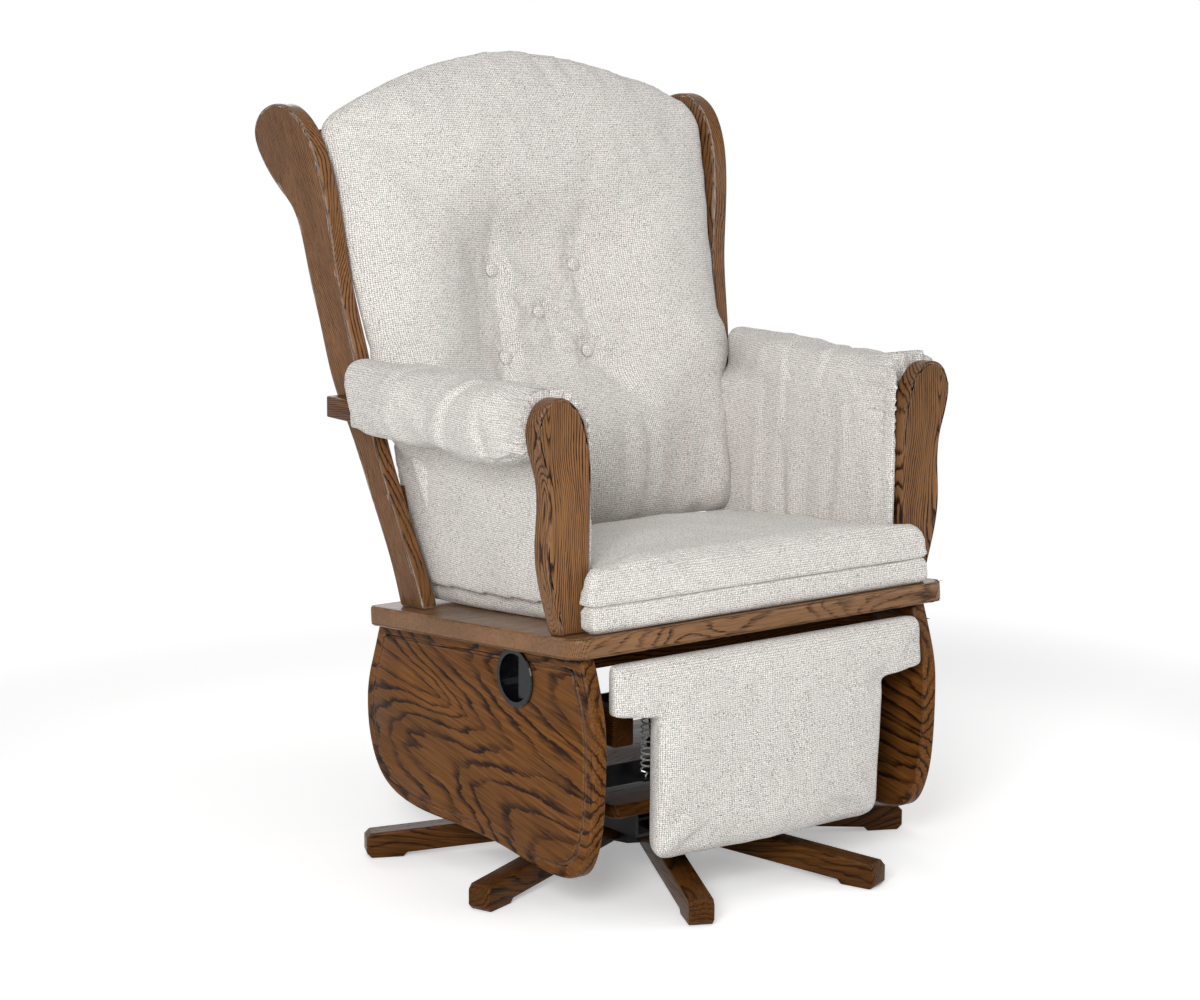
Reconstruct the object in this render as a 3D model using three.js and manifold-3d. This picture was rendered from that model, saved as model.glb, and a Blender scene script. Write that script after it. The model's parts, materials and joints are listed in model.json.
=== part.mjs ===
// Swivel glider recliner: an oak and fabric chair on an eight-legged swivel base.
// Millimetres, +Z up. The chair faces -Y and swivels about a vertical axis.
import * as THREE from "three";
import { mergeVertices } from "three/addons/utils/BufferGeometryUtils.js";
import Module from "manifold-3d";

const wasm = await Module();
wasm.setup();

// Clearances shared by all pieces
const touchGap = 0.3;
const softGap = 1.5;
const pivotGap = 0.5;
const cutOverrun = 5;
const sideClearance = 5;

// Seat deck board, which slopes down to the rear
const deckWidth = 656;
const deckDepth = 493;
const deckThickness = 27.3;
const deckTiltDegrees = 4.8;
const deckFrontY = -288;
const deckFrontZ = 393;
const deckFrontCornerRadius = 30;
const deckRearCornerRadius = 12;
const boardEase = 2.5;

// Star base
const legCount = 8;
const firstLegDegrees = 19.8;
const legReach = 394;
const legWidth = 35;
const legTipHeight = 36;
const legTipChamfer = 7;
const legRootTop = 58;
const legRootBottom = 24;
const legPadLength = 52;
const legPadRelief = 6;
const legEase = 2;
const hubApothem = 75;
const hubBottom = 20;

// Swivel and base board
const swivelPlateWidth = 180;
const swivelPlateThickness = 4;
const swivelRaceRadius = 62;
const swivelRaceWidth = 12;
const swivelRaceHeight = 3;
const baseBoardBottom = 113;
const baseBoardThickness = 19;
const baseBoardWidth = 396;
const baseBoardFrontY = -205;
const baseBoardRearY = 150;
const channelSpacing = 300;
const channelFlange = 30;
const channelWall = 4;
const channelFrontY = -190;
const channelRearY = 140;

// Stands: posts on the base board carry the glide rails that the seat hangs from
const glideRailWidth = 35;
const glideRailHeight = 46;
const glideRailTop = 258;
const glideRailInnerX = 162;
const glideRailFrontY = -200;
const glideRailRearY = 105;
const standPostDepth = 45;
const frontStandPostY = -95;
const rearStandPostY = 35;

// Glide links
const linkLength = 115;
const linkThickness = 5;
const linkWidth = 24;
const linkUpperZ = 236;
const frontLinkY = -145;
const rearLinkY = 60;
const pivotRadius = 6;
const pivotHeadRadius = 9;
const pivotHeadThickness = 4;
const pivotDepthInRail = 14;

// Carriage
const carriagePlateThickness = 4;
const carriagePlateMargin = 15;
const carriageBarBottom = 160;
const carriageBarHeight = 30;
const carriageBarThickness = 4;
const frontBarY = -198;
const rearBarY = 122;
const springTabReach = 20;
const springTabThickness = 3;
const springTabWidth = 20;

// Recline pivot, between the carriage plates and the brackets under the deck
const reclinePivotInset = 155;
const reclinePivotZ = 285;
const bracketThickness = 4;
const bracketHeight = 22;
const bracketLength = 90;

// Rails under the deck
const deckRailWidth = 20;
const frontDeckRailHeight = 28;
const frontDeckRailInset = 73;
const rearDeckRailHeight = 34;
const rearDeckRailInset = 25;
const deckRailLength = 500;

// Side panels below the deck, with a routed line
const panelThickness = 24;
const panelSetback = 25;
const panelFrontY = -296;
const panelRearY = 247;
const panelBottomZ = 57;
const panelEase = 3;
const panelSpanSteps = 2;
const panelGrooveInset = 16;
const panelGrooveWidth = 4;
const panelGrooveDepth = 3;

// Release cup in the left panel, and its paddle
const cupY = -123;
const cupZ = 309;
const cupFlangeRadius = 41;
const cupBodyRadius = 36;
const cupWall = 3;
const cupDepth = 20;
const cupFlangeThickness = 3;
const paddleThickness = 3;
const paddleRadius = 29;
const paddleFreeReach = 1;
const cupSides = 24;
const paddleHingeReach = 20;
const paddleTail = 4;
const paddleInset = 9;
const paddlePinRadius = 2.5;

// Front arm posts
const frontPostFaceY = -248;
const frontPostThickness = 30;
const frontPostInnerX = 276;
const frontPostFootWidth = 42;
const frontPostHeight = 312;

// Back posts, which splay outwards with height
const backPostThickness = 25;
const backPostOuterX = 300;
const backPostSplayDegrees = 6.1;
const backPostFootY = 103;
const backPostReach = 366;
const backPostHeight = 690;

// Arm rails, outside the back posts
const armRailThickness = 25;
const armRailHeight = 30;
const armRailBottom = 616;
const armRailRearY = 262;

// Back frame between the posts
const backRakeDegrees = 15.8;
const backLineY = 144;
const backLineZ = 451;
const backRailThickness = 22;
const backRailDepth = 28;
const crestRailBottom = 520;
const crestRailSideHeight = 70;
const crestRailArch = 22;
const lowerRailBottom = 20;
const lowerRailHeight = 60;
const slatCount = 3;
const slatWidth = 72;
const slatThickness = 12;
const slatPitch = 150;

// Seat upholstery
const platformHeight = 38;
const seatHalfWidth = 254;
const earHalfWidth = 294;
const seatFrontSetback = 4;
const platformDepth = 405;
const platformEase = 8;
const seatCushionHeight = 48;
const seatCushionDepth = 394;
const seatCushionRim = 20;
const seatCrown = 15;
const seatSideDraw = 4;

// Back cushion
const backCushionFront = 14;
const backCushionCrown = 38;
const backCushionLumbar = 20;
const backCushionLumbarHeight = 120;
const backCushionLumbarSpread = 130;
const backCushionDish = 34;
const backCushionDishHeight = 310;
const backCushionDishSpread = 100;
const backCushionBottom = 5;
const backCushionSideHeight = 611;
const backCushionCornerRadius = 60;
const backCushionArch = 78;
const backCushionRim = 46;
const backCushionWidenStart = 628;
const backCushionWidenEnd = 700;
const tuftRadius = 10;
const tuftHeight = 5;
const tuftSink = 26;
const tuftSpread = 48;

// Arm cushions: a padded roll over the arm rail and a panel that hangs inside it
const rollCentreX = 316;
const rollCentreZ = 652;
const rollHalfWidth = 54;
const rollHalfHeight = 53;
const rollRearCentreX = 341;
const rollRearHalfWidth = 33;
const armPanelInnerX = 257;
const armPanelOuterX = 271;
const armPanelHemGap = 26;
const armPanelPadding = 1.5;
const armPanelFold = 3.5;
const armPanelFoldPitch = 62;
const armCushionRearY = 104;
const armCushionRearLean = 0.32;
const armPanelTail = 30;
const armCushionEndRound = 26;

// Footrest
const footrestTop = 352;
const footrestBottom = 75;
const footrestWingBottom = 285;
const footrestWingHalfWidth = 271;
const footrestBodyHalfWidth = 199;
const footrestBackY = -260;
const footrestPadThickness = 38;
const footrestCrown = 5;
const footrestRim = 14;
const footrestCornerRadius = 24;
const footrestBoardThickness = 10;
const footrestBoardInset = 14;
const footrestMountY = -150;
const footrestMountZ = 330;
const footrestMountLength = 250;
const footrestMountThickness = 3;
const footrestEarThickness = 4;
const footrestArmX = 100;
const footrestArmThickness = 4;
const footrestArmWidth = 18;
const footrestPinRadius = 4;
const footrestPinHead = 7;
const kneeY = -170;
const kneeZ = 200;
const padPivotY = -240;
const padPivotZ = 300;
const torqueTubeRadius = 7;
const spreaderRadius = 4;

// Extension springs between the front carriage bar and the front deck rail
const springX = 151;
const springWireDiameter = 2.4;
const springCoilRadius = 7;
const springCurls = 14;
const springCurlSteps = 8;
const springSides = 5;
const springShank = 30;
const springLowerZ = 168;

// Outlines, as shares of the sizes above
const panelOutlineShares = [
  [0.055, 1], [0.025, 0.85], [0.002, 0.7], [0, 0.5], [0.006, 0.3], [0.022, 0.165],
  [0.055, 0.05], [0.11, 0.006], [0.19, 0], [0.27, 0.012], [0.37, 0.035], [0.47, 0.05],
  [0.6, 0.052], [0.72, 0.05], [0.81, 0.065], [0.885, 0.105], [0.945, 0.19], [0.985, 0.34],
  [1, 0.52], [0.993, 0.68], [0.968, 0.82], [0.935, 1],
];
const frontPostInnerShares = [
  [0, 0], [-0.03, 0.22], [-0.055, 0.42], [-0.09, 0.58], [-0.1, 0.7], [0.02, 0.81],
  [0.2, 0.895], [0.55, 0.965], [1.05, 1],
];
const frontPostOuterShares = [
  [1.62, 0.975], [1.92, 0.895], [1.93, 0.83], [1.77, 0.74], [1.57, 0.65], [1.52, 0.53],
  [1.6, 0.4], [1.55, 0.28], [1.33, 0.15], [1, 0],
];
const backPostFrontShares = [
  [0, 0], [0.03, 0.055], [0.09, 0.13], [0.165, 0.225], [0.235, 0.325], [0.31, 0.498],
  [0.348, 0.578], [0.38, 0.658], [0.398, 0.77], [0.43, 0.868], [0.49, 0.938], [0.57, 0.98],
];
const backPostRearShares = [
  [0.68, 1], [0.8, 0.988], [0.875, 0.957], [0.893, 0.92], [0.845, 0.873], [0.755, 0.826],
  [0.66, 0.788], [0.615, 0.73], [0.59, 0.65], [0.548, 0.56], [0.505, 0.45], [0.44, 0.375],
  [0.385, 0.32], [0.295, 0.205], [0.205, 0.09], [0.16, 0],
];
const tuftPlaceShares = [
  [-0.293, 0.536], [0.293, 0.536], [0, 0.44], [-0.293, 0.35], [0.293, 0.35],
];

// Places worked out from the sizes above
const radians = THREE.MathUtils.degToRad;
const deckTilt = radians(deckTiltDegrees);
const backRake = radians(backRakeDegrees);
const splaySlope = Math.tan(radians(backPostSplayDegrees));
const reclinePivotY = deckFrontY + deckDepth - reclinePivotInset;
const halfDeck = deckWidth / 2;
const deckTopAt = (y) => deckFrontZ - (y - deckFrontY) * Math.tan(deckTilt);
const deckUnderAt = (y) => deckTopAt(y) - deckThickness / Math.cos(deckTilt);
const backPostFootZ = deckTopAt(backPostFootY);
const postInnerAt = (z) => backPostOuterX - backPostThickness + (z - backPostFootZ) * splaySlope;
const armRailInnerX =
  postInnerAt(armRailBottom + armRailHeight) + backPostThickness + touchGap;
const baseBoardTop = baseBoardBottom + baseBoardThickness;
const glideRailBottom = glideRailTop - glideRailHeight;
const glideRailOuterX = glideRailInnerX + glideRailWidth;
const linkInnerX = glideRailOuterX + sideClearance;
const linkOuterX = linkInnerX + linkThickness;
const linkLowerZ = linkUpperZ - linkLength;
const carriagePlateX = linkOuterX + sideClearance;
const carriagePlateOuterX = carriagePlateX + carriagePlateThickness;
const bracketX = carriagePlateOuterX + sideClearance;
const panelOuterX = halfDeck - panelSetback;
const panelInnerX = panelOuterX - panelThickness;
const hubTop = legRootTop + 2 * legEase;

// Materials
const finish = (color, roughness, metalness = 0) =>
  new THREE.MeshStandardMaterial({ color, roughness, metalness });
const oak = finish(0x5e3719, 0.4);
const fabric = finish(0xcdc8c0, 0.95);
const blackSteel = finish(0x161616, 0.45, 0.8);
const zincSteel = finish(0x9c9c9a, 0.35, 1);
const blackPlastic = finish(0x0d0f12, 0.2);

const chair = new THREE.Group();
const deckGroup = new THREE.Group();
deckGroup.position.set(0, deckFrontY, deckFrontZ);
deckGroup.rotation.x = -deckTilt;
const backGroup = new THREE.Group();
backGroup.position.set(0, backLineY, backLineZ);
backGroup.rotation.x = -backRake;
chair.add(deckGroup, backGroup);

function place(name, geometry, material, group = chair) {
  const mesh = new THREE.Mesh(geometry, material);
  mesh.name = name;
  group.add(mesh);
  return mesh;
}

// A pair is drawn for the right side, and the left one is its mirror image.
function placePair(name, geometry, material, group = chair) {
  place(name + "_right", geometry, material, group);
  place(name + "_left", geometry.clone(), material, group).scale.x = -1;
}

// Solid helpers
function solidOf(geometry) {
  const bare = geometry.index ? geometry.toNonIndexed() : geometry.clone();
  bare.deleteAttribute("normal");
  bare.deleteAttribute("uv");
  const merged = mergeVertices(bare, 1e-3);
  return new wasm.Manifold(
    new wasm.Mesh({
      numProp: 3,
      vertProperties: merged.attributes.position.array,
      triVerts: new Uint32Array(merged.index.array),
    }),
  );
}

function geometryOf(solid) {
  const mesh = solid.getMesh();
  return new THREE.BufferGeometry()
    .setAttribute("position", new THREE.BufferAttribute(mesh.vertProperties, 3))
    .setIndex(new THREE.BufferAttribute(mesh.triVerts, 1));
}

const joined = (first, ...others) =>
  geometryOf(others.reduce((sum, other) => sum.add(solidOf(other)), solidOf(first)));
const cut = (first, ...others) =>
  geometryOf(others.reduce((rest, other) => rest.subtract(solidOf(other)), solidOf(first)));

// A box between two corners
function boxBetween([x0, y0, z0], [x1, y1, z1]) {
  return new THREE.BoxGeometry(x1 - x0, y1 - y0, z1 - z0).translate(
    (x0 + x1) / 2,
    (y0 + y1) / 2,
    (z0 + z1) / 2,
  );
}

// A round bar along X
function barAlongX(x0, x1, y, z, radius, sides = 12) {
  return new THREE.CylinderGeometry(radius, radius, x1 - x0, sides)
    .rotateZ(Math.PI / 2)
    .translate((x0 + x1) / 2, y, z);
}

// A board of a given outline, with eased edges, lying on the XY plane
function board(shape, thickness, ease, curveSegments = 6) {
  const eased = ease > 0;
  return new THREE.ExtrudeGeometry(shape, {
    depth: thickness - 2 * ease,
    bevelEnabled: eased,
    bevelThickness: ease,
    bevelSize: ease,
    bevelOffset: -ease,
    bevelSegments: 1,
    curveSegments,
  }).translate(0, 0, ease);
}

const drawn = (points) => new THREE.Shape(points.map(([x, y]) => new THREE.Vector2(x, y)));
// A board drawn in Y and Z, extruded towards +X from a given place
const boardAlongX = (shape, x, thickness, ease) =>
  board(shape, thickness, ease)
    .applyMatrix4(new THREE.Matrix4().set(0, 0, 1, x, 1, 0, 0, 0, 0, 1, 0, 0, 0, 0, 0, 1));
// A board drawn in X and Z, extruded towards -Y from a given place
const boardAlongY = (shape, y, thickness, ease) =>
  board(shape, thickness, ease).rotateX(Math.PI / 2).translate(0, y, 0);

// A straight link with round ends, drawn in Y and Z
function linkShape([y0, z0], [y1, z1], width) {
  const along = Math.atan2(z1 - z0, y1 - y0);
  const shape = new THREE.Shape();
  shape.absarc(y0, z0, width / 2, along + Math.PI / 2, along - Math.PI / 2 + 2 * Math.PI);
  shape.absarc(y1, z1, width / 2, along - Math.PI / 2, along + Math.PI / 2);
  return shape;
}

// A rectangle whose four corners have their own radii: front left, front right, rear right, rear left
function roundedRectangle(x0, y0, x1, y1, frontRadius, rearRadius) {
  const shape = new THREE.Shape();
  shape.absarc(x0 + frontRadius, y0 + frontRadius, frontRadius, Math.PI, 1.5 * Math.PI);
  shape.absarc(x1 - frontRadius, y0 + frontRadius, frontRadius, 1.5 * Math.PI, 2 * Math.PI);
  shape.absarc(x1 - rearRadius, y1 - rearRadius, rearRadius, 0, Math.PI / 2);
  shape.absarc(x0 + rearRadius, y1 - rearRadius, rearRadius, Math.PI / 2, Math.PI);
  return shape;
}

// A closed surface from rings of points, each ring with as many points
function loft(rings) {
  const count = rings[0].length;
  const index = [];
  for (let r = 0; r + 1 < rings.length; r++)
    for (let i = 0; i < count; i++) {
      const a = r * count + i;
      const b = r * count + ((i + 1) % count);
      index.push(a, b, b + count, a, b + count, a + count);
    }
  const cap = (ring, offset, facingRear) => {
    const flat = ring.map((p) => new THREE.Vector2(p.x, p.z));
    for (const [a, b, c] of THREE.ShapeUtils.triangulateShape(flat, [])) {
      const turnsLeft = THREE.ShapeUtils.area([flat[a], flat[b], flat[c]]) > 0;
      const corners = turnsLeft === facingRear ? [a, c, b] : [a, b, c];
      index.push(...corners.map((corner) => corner + offset));
    }
  };
  cap(rings[0], 0, false);
  cap(rings.at(-1), count * (rings.length - 1), true);
  return new THREE.BufferGeometry().setFromPoints(rings.flat()).setIndex(index);
}

// A tube along points, with flat ends
function tube(points, radius, sides) {
  const tangentAt = (i) =>
    points[Math.min(i + 1, points.length - 1)].clone().sub(points[Math.max(i - 1, 0)]).normalize();
  let normal = new THREE.Vector3(1, 0, 0);
  const index = [];
  const vertices = [];
  points.forEach((point, i) => {
    const tangent = tangentAt(i);
    normal = normal.clone().addScaledVector(tangent, -normal.dot(tangent)).normalize();
    const binormal = tangent.clone().cross(normal);
    for (let k = 0; k < sides; k++) {
      const turn = (2 * Math.PI * k) / sides;
      vertices.push(
        point
          .clone()
          .addScaledVector(normal, radius * Math.cos(turn))
          .addScaledVector(binormal, radius * Math.sin(turn)),
      );
      if (i === 0) continue;
      const a = i * sides + k;
      const b = i * sides + ((k + 1) % sides);
      index.push(a - sides, b - sides, b, a - sides, b, a);
    }
  });
  const last = (points.length - 1) * sides;
  for (let k = 1; k + 1 < sides; k++)
    index.push(0, k + 1, k, last, last + k, last + k + 1);
  return new THREE.BufferGeometry().setFromPoints(vertices).setIndex(index);
}

// A cushion between two faces that meet at a rounded rim. Its rows say where they lie and how wide
// they are; the front and back faces rise from the rim to their own depths.
const rimStepShares = [0, 0.04, 0.18, 0.5, 1];
const rounding = (distance, rim) =>
  Math.sqrt(1 - (1 - Math.min(distance / rim, 1)) ** 2);

function rimSpaced(low, high, rim, middleSteps) {
  const from = rimStepShares.map((share) => low + rim * share);
  const to = rimStepShares.map((share) => high - rim * share).reverse();
  const middle = [];
  for (let i = 1; i < middleSteps; i++)
    middle.push(low + rim + ((high - low - 2 * rim) * i) / middleSteps);
  return [...from, ...middle, ...to];
}

function cushion({ alongs, halfAt, rim, columnSteps, frontAt, backAt, shiftAt = () => 0 }) {
  const low = alongs[0];
  const high = alongs.at(-1);
  const faces = [[], []];
  for (const along of alongs) {
    const half = halfAt(along);
    const endRise = rounding(Math.min(along - low, high - along), rim);
    const across = rimSpaced(-half, half, rim, columnSteps);
    for (const x of across) {
      const rise = endRise * rounding(half - Math.abs(x), rim);
      const y = along + shiftAt(x / half, (along - low) / (high - low));
      faces[0].push(new THREE.Vector3(x, y, rise * frontAt(x, y, x / half, along)));
      faces[1].push(new THREE.Vector3(x, y, -rise * backAt(x, y)));
    }
  }
  const columns = faces[0].length / alongs.length;
  const index = [];
  for (const side of [0, 1])
    for (let r = 0; r + 1 < alongs.length; r++)
      for (let c = 0; c + 1 < columns; c++) {
        const a = side * faces[0].length + r * columns + c;
        const quad = [a, a + 1, a + columns + 1, a + columns];
        if (side) quad.reverse();
        index.push(quad[0], quad[1], quad[2], quad[0], quad[2], quad[3]);
      }
  return new THREE.BufferGeometry().setFromPoints(faces.flat()).setIndex(index);
}

// A cushion closes on itself at its rim, where front and back points are the same.
const closedCushion = (options) => geometryOf(solidOf(cushion(options)));

// Star base
function makeBase() {
  const rootReach = hubApothem + touchGap;
  const padStart = legReach - legPadLength;
  const leg = drawn([
    [rootReach, legRootBottom],
    [padStart - legPadRelief, legPadRelief],
    [padStart, 0],
    [legReach - legTipChamfer, 0],
    [legReach, legTipChamfer],
    [legReach, legTipHeight - legTipChamfer],
    [legReach - legTipChamfer, legTipHeight],
    [rootReach, legRootTop],
  ]);
  for (let i = 0; i < legCount; i++) {
    const geometry = boardAlongY(leg, legWidth / 2, legWidth, legEase);
    place("leg_" + (i + 1), geometry, oak).rotation.z =
      radians(firstLegDegrees) + (2 * Math.PI * i) / legCount;
  }
  const cornerRadius = hubApothem / Math.cos(Math.PI / legCount);
  const hub = new THREE.CylinderGeometry(cornerRadius, cornerRadius, hubTop - hubBottom, legCount)
    .rotateX(Math.PI / 2)
    .rotateZ(radians(firstLegDegrees) + Math.PI / 2 + Math.PI / legCount)
    .translate(0, 0, (hubTop + hubBottom) / 2);
  place("hub_block", hub, blackSteel);
}

// Swivel plates with a ball race between them, and the frame that carries the base board
function makeSwivel() {
  const half = swivelPlateWidth / 2;
  const plateAt = (z) =>
    boxBetween([-half, -half, z], [half, half, z + swivelPlateThickness]);
  const raceAt = (z, radius) => {
    const ring = new THREE.Shape().absarc(0, 0, radius, 0, 2 * Math.PI);
    ring.holes.push(new THREE.Path().absarc(0, 0, radius - swivelRaceWidth, 0, 2 * Math.PI));
    return board(ring, swivelRaceHeight, 0, 12).translate(0, 0, z);
  };
  const lowerTop = hubTop + touchGap + swivelPlateThickness;
  const upperBottom = lowerTop + 2 * swivelRaceHeight + touchGap;
  place(
    "swivel_plate_lower",
    joined(plateAt(hubTop + touchGap), raceAt(lowerTop - touchGap, swivelRaceRadius)),
    blackSteel,
  );
  place(
    "swivel_plate_upper",
    joined(plateAt(upperBottom), raceAt(upperBottom - swivelRaceHeight + touchGap, swivelRaceRadius)),
    blackSteel,
  );
  const channelBottom = upperBottom + swivelPlateThickness + touchGap;
  const channelTop = baseBoardBottom - touchGap;
  const side = channelSpacing / 2;
  const channels = [-1, 1].map((sign) => {
    const inner = side - channelFlange;
    const channel = drawn([
      [inner, channelBottom],
      [side, channelBottom],
      [side, channelTop],
      [inner, channelTop],
      [inner, channelTop - channelWall],
      [side - channelWall, channelTop - channelWall],
      [side - channelWall, channelBottom + channelWall],
      [inner, channelBottom + channelWall],
    ]);
    const made = boardAlongY(channel, channelRearY, channelRearY - channelFrontY, 0);
    return sign < 0 ? made.rotateZ(Math.PI).translate(0, channelRearY + channelFrontY, 0) : made;
  });
  const tie = boxBetween(
    [-side + channelWall / 2, -half, channelBottom],
    [side - channelWall / 2, half, channelBottom + channelWall],
  );
  place("swivel_frame", joined(tie, ...channels), blackSteel);
  place(
    "base_board",
    board(
      roundedRectangle(
        -baseBoardWidth / 2,
        baseBoardFrontY,
        baseBoardWidth / 2,
        baseBoardRearY,
        deckRearCornerRadius,
        deckRearCornerRadius,
      ),
      baseBoardThickness,
      boardEase,
      2,
    ).translate(0, 0, baseBoardBottom),
    oak,
  );
}

// Stand posts and glide rails, with blind holes for the upper link pins
function makeStands() {
  for (const [name, y] of [["front", frontStandPostY], ["rear", rearStandPostY]])
    placePair(
      "stand_post_" + name,
      boxBetween(
        [glideRailInnerX, y - standPostDepth / 2, baseBoardTop + touchGap],
        [glideRailOuterX, y + standPostDepth / 2, glideRailBottom - touchGap],
      ),
      oak,
    );
  const rail = boardAlongX(
    drawn([
      [glideRailFrontY, glideRailBottom],
      [glideRailRearY, glideRailBottom],
      [glideRailRearY, glideRailTop],
      [glideRailFrontY, glideRailTop],
    ]),
    glideRailInnerX,
    glideRailWidth,
    boardEase,
  );
  const holes = [frontLinkY, rearLinkY].map((y) =>
    barAlongX(
      glideRailOuterX - pivotDepthInRail - pivotGap,
      glideRailOuterX + cutOverrun,
      y,
      linkUpperZ,
      pivotRadius + pivotGap,
    ),
  );
  placePair("glide_rail", cut(rail, ...holes), oak);
}

// Glide links hang from pins in the rails, and their lower pins carry the carriage plates.
function makeLinks() {
  for (const [name, y] of [["front", frontLinkY], ["rear", rearLinkY]]) {
    const plate = boardAlongX(
      linkShape([y, linkLowerZ], [y, linkUpperZ], linkWidth), linkInnerX, linkThickness, 0);
    const upperPin = barAlongX(
      glideRailOuterX - pivotDepthInRail, linkInnerX + linkThickness / 2, y, linkUpperZ, pivotRadius);
    const headStart = carriagePlateOuterX + touchGap;
    const lowerPin = barAlongX(
      linkOuterX - linkThickness / 2, headStart + pivotHeadThickness / 2, y, linkLowerZ, pivotRadius);
    const head = barAlongX(
      headStart, headStart + pivotHeadThickness, y, linkLowerZ, pivotHeadRadius);
    placePair("glide_link_" + name, joined(plate, upperPin, lowerPin, head), blackSteel);
  }
}

// Carriage plates hang on the links and carry the recline pivots; two bars tie them together.
function makeCarriage() {
  const outline = [
    [frontLinkY - carriagePlateMargin, linkLowerZ - carriagePlateMargin],
    [rearLinkY + carriagePlateMargin, linkLowerZ - carriagePlateMargin],
    [rearLinkY + carriagePlateMargin, linkLowerZ + carriagePlateMargin],
    [reclinePivotY + carriagePlateMargin, reclinePivotZ + carriagePlateMargin],
    [reclinePivotY - carriagePlateMargin, reclinePivotZ + carriagePlateMargin],
    [frontLinkY - carriagePlateMargin, linkLowerZ + carriagePlateMargin],
  ];
  const toBars = drawn([
    [frontBarY - carriageBarThickness, carriageBarBottom],
    [rearBarY + carriageBarThickness, carriageBarBottom],
    [rearBarY + carriageBarThickness, carriageBarBottom + carriageBarHeight],
    [frontBarY - carriageBarThickness, carriageBarBottom + carriageBarHeight],
  ]);
  const holeAt = (y, z) =>
    barAlongX(
      carriagePlateX - cutOverrun, carriagePlateOuterX + cutOverrun, y, z, pivotRadius + pivotGap);
  const plate = cut(
    joined(
      boardAlongX(drawn(outline), carriagePlateX, carriagePlateThickness, 0),
      boardAlongX(toBars, carriagePlateX, carriagePlateThickness, 0),
    ),
    holeAt(frontLinkY, linkLowerZ),
    holeAt(rearLinkY, linkLowerZ),
    holeAt(reclinePivotY, reclinePivotZ),
  );
  placePair("carriage_plate", plate, blackSteel);
  const barAt = (y) =>
    boxBetween(
      [-carriagePlateX + touchGap, y - carriageBarThickness, carriageBarBottom],
      [carriagePlateX - touchGap, y, carriageBarBottom + carriageBarHeight],
    );
  const tabs = [-1, 1].map((side) =>
    boxBetween(
      [
        side * springX - springTabWidth / 2,
        frontBarY - carriageBarThickness - springTabReach,
        springLowerZ - springTabThickness - touchGap,
      ],
      [
        side * springX + springTabWidth / 2,
        frontBarY - carriageBarThickness / 2,
        springLowerZ - touchGap,
      ],
    ),
  );
  place("carriage_bar_front", joined(barAt(frontBarY), ...tabs), blackSteel);
  place("carriage_bar_rear", barAt(rearBarY), blackSteel);
}

// Seat deck and what hangs below it
function makeDeck() {
  const deck = board(
    roundedRectangle(
      -halfDeck, 0, halfDeck, deckDepth, deckFrontCornerRadius, deckRearCornerRadius),
    deckThickness,
    boardEase,
  ).translate(0, 0, -deckThickness);
  place("seat_deck", deck, oak, deckGroup);
  const railTop = -deckThickness - touchGap;
  const railAt = (name, y, height) =>
    place(
      name,
      boxBetween(
        [-deckRailLength / 2, y, railTop - height],
        [deckRailLength / 2, y + deckRailWidth, railTop],
      ),
      oak,
      deckGroup,
    );
  railAt("deck_rail_front", frontDeckRailInset, frontDeckRailHeight);
  railAt("deck_rail_rear", deckDepth - rearDeckRailInset - deckRailWidth, rearDeckRailHeight);

  // Recline brackets: a plate under the deck, an ear and the pin through the carriage plate
  const earTop = deckUnderAt(reclinePivotY + bracketLength / 2) - touchGap;
  const ear = boardAlongX(
    drawn([
      [reclinePivotY - bracketHeight / 2, reclinePivotZ - bracketHeight / 2],
      [reclinePivotY + bracketHeight / 2, reclinePivotZ - bracketHeight / 2],
      [reclinePivotY + bracketLength / 2, earTop],
      [reclinePivotY - bracketLength / 2, deckUnderAt(reclinePivotY - bracketLength / 2) - touchGap],
    ]),
    bracketX,
    bracketThickness,
    0,
  );
  const headEnd = carriagePlateX - touchGap;
  const pin = barAlongX(
    headEnd - pivotHeadThickness / 2, bracketX + bracketThickness / 2, reclinePivotY, reclinePivotZ, pivotRadius);
  const head = barAlongX(
    headEnd - pivotHeadThickness, headEnd, reclinePivotY, reclinePivotZ, pivotHeadRadius);
  placePair("recline_bracket", joined(ear, pin, head), blackSteel);
}

// Side panels: an outline that swells to the front, with a routed line and a hole for the cup
function panelOutline(inset) {
  const length = panelRearY - panelFrontY;
  const points = panelOutlineShares.map(([along, up]) => {
    const y = panelFrontY + length * along;
    const top = deckUnderAt(y) - touchGap;
    return new THREE.Vector2(y, up === 1 ? top : panelBottomZ + (top - panelBottomZ) * up);
  });
  const middle = new THREE.Vector2(
    (panelFrontY + panelRearY) / 2,
    (panelBottomZ + deckUnderAt(0)) / 2,
  );
  const shrinkY = 1 - (2 * inset) / length;
  const shrinkZ = 1 - (2 * inset) / (deckUnderAt(0) - panelBottomZ);
  return throughPoints(points, panelSpanSteps).map((p) =>
    inset === 0
      ? p
      : new THREE.Vector2(
          middle.x + (p.x - middle.x) * shrinkY,
          middle.y + (p.y - middle.y) * shrinkZ,
        ),
  );
}

function makePanels() {
  const panel = boardAlongX(
    new THREE.Shape(panelOutline(0)), panelInnerX, panelThickness, panelEase);
  const line = new THREE.Shape(panelOutline(panelGrooveInset));
  line.holes.push(new THREE.Path(panelOutline(panelGrooveInset + panelGrooveWidth)));
  const groove = boardAlongX(
    line, panelOuterX - panelGrooveDepth, panelGrooveDepth + cutOverrun, 0);
  const routed = cut(panel, groove);
  const hole = barAlongX(
    panelInnerX - cutOverrun, panelOuterX + cutOverrun, cupY, cupZ, cupBodyRadius + touchGap, cupSides);
  place("side_panel_right", routed, oak);
  place("side_panel_left", cut(routed, hole), oak).scale.x = -1;
}

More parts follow.
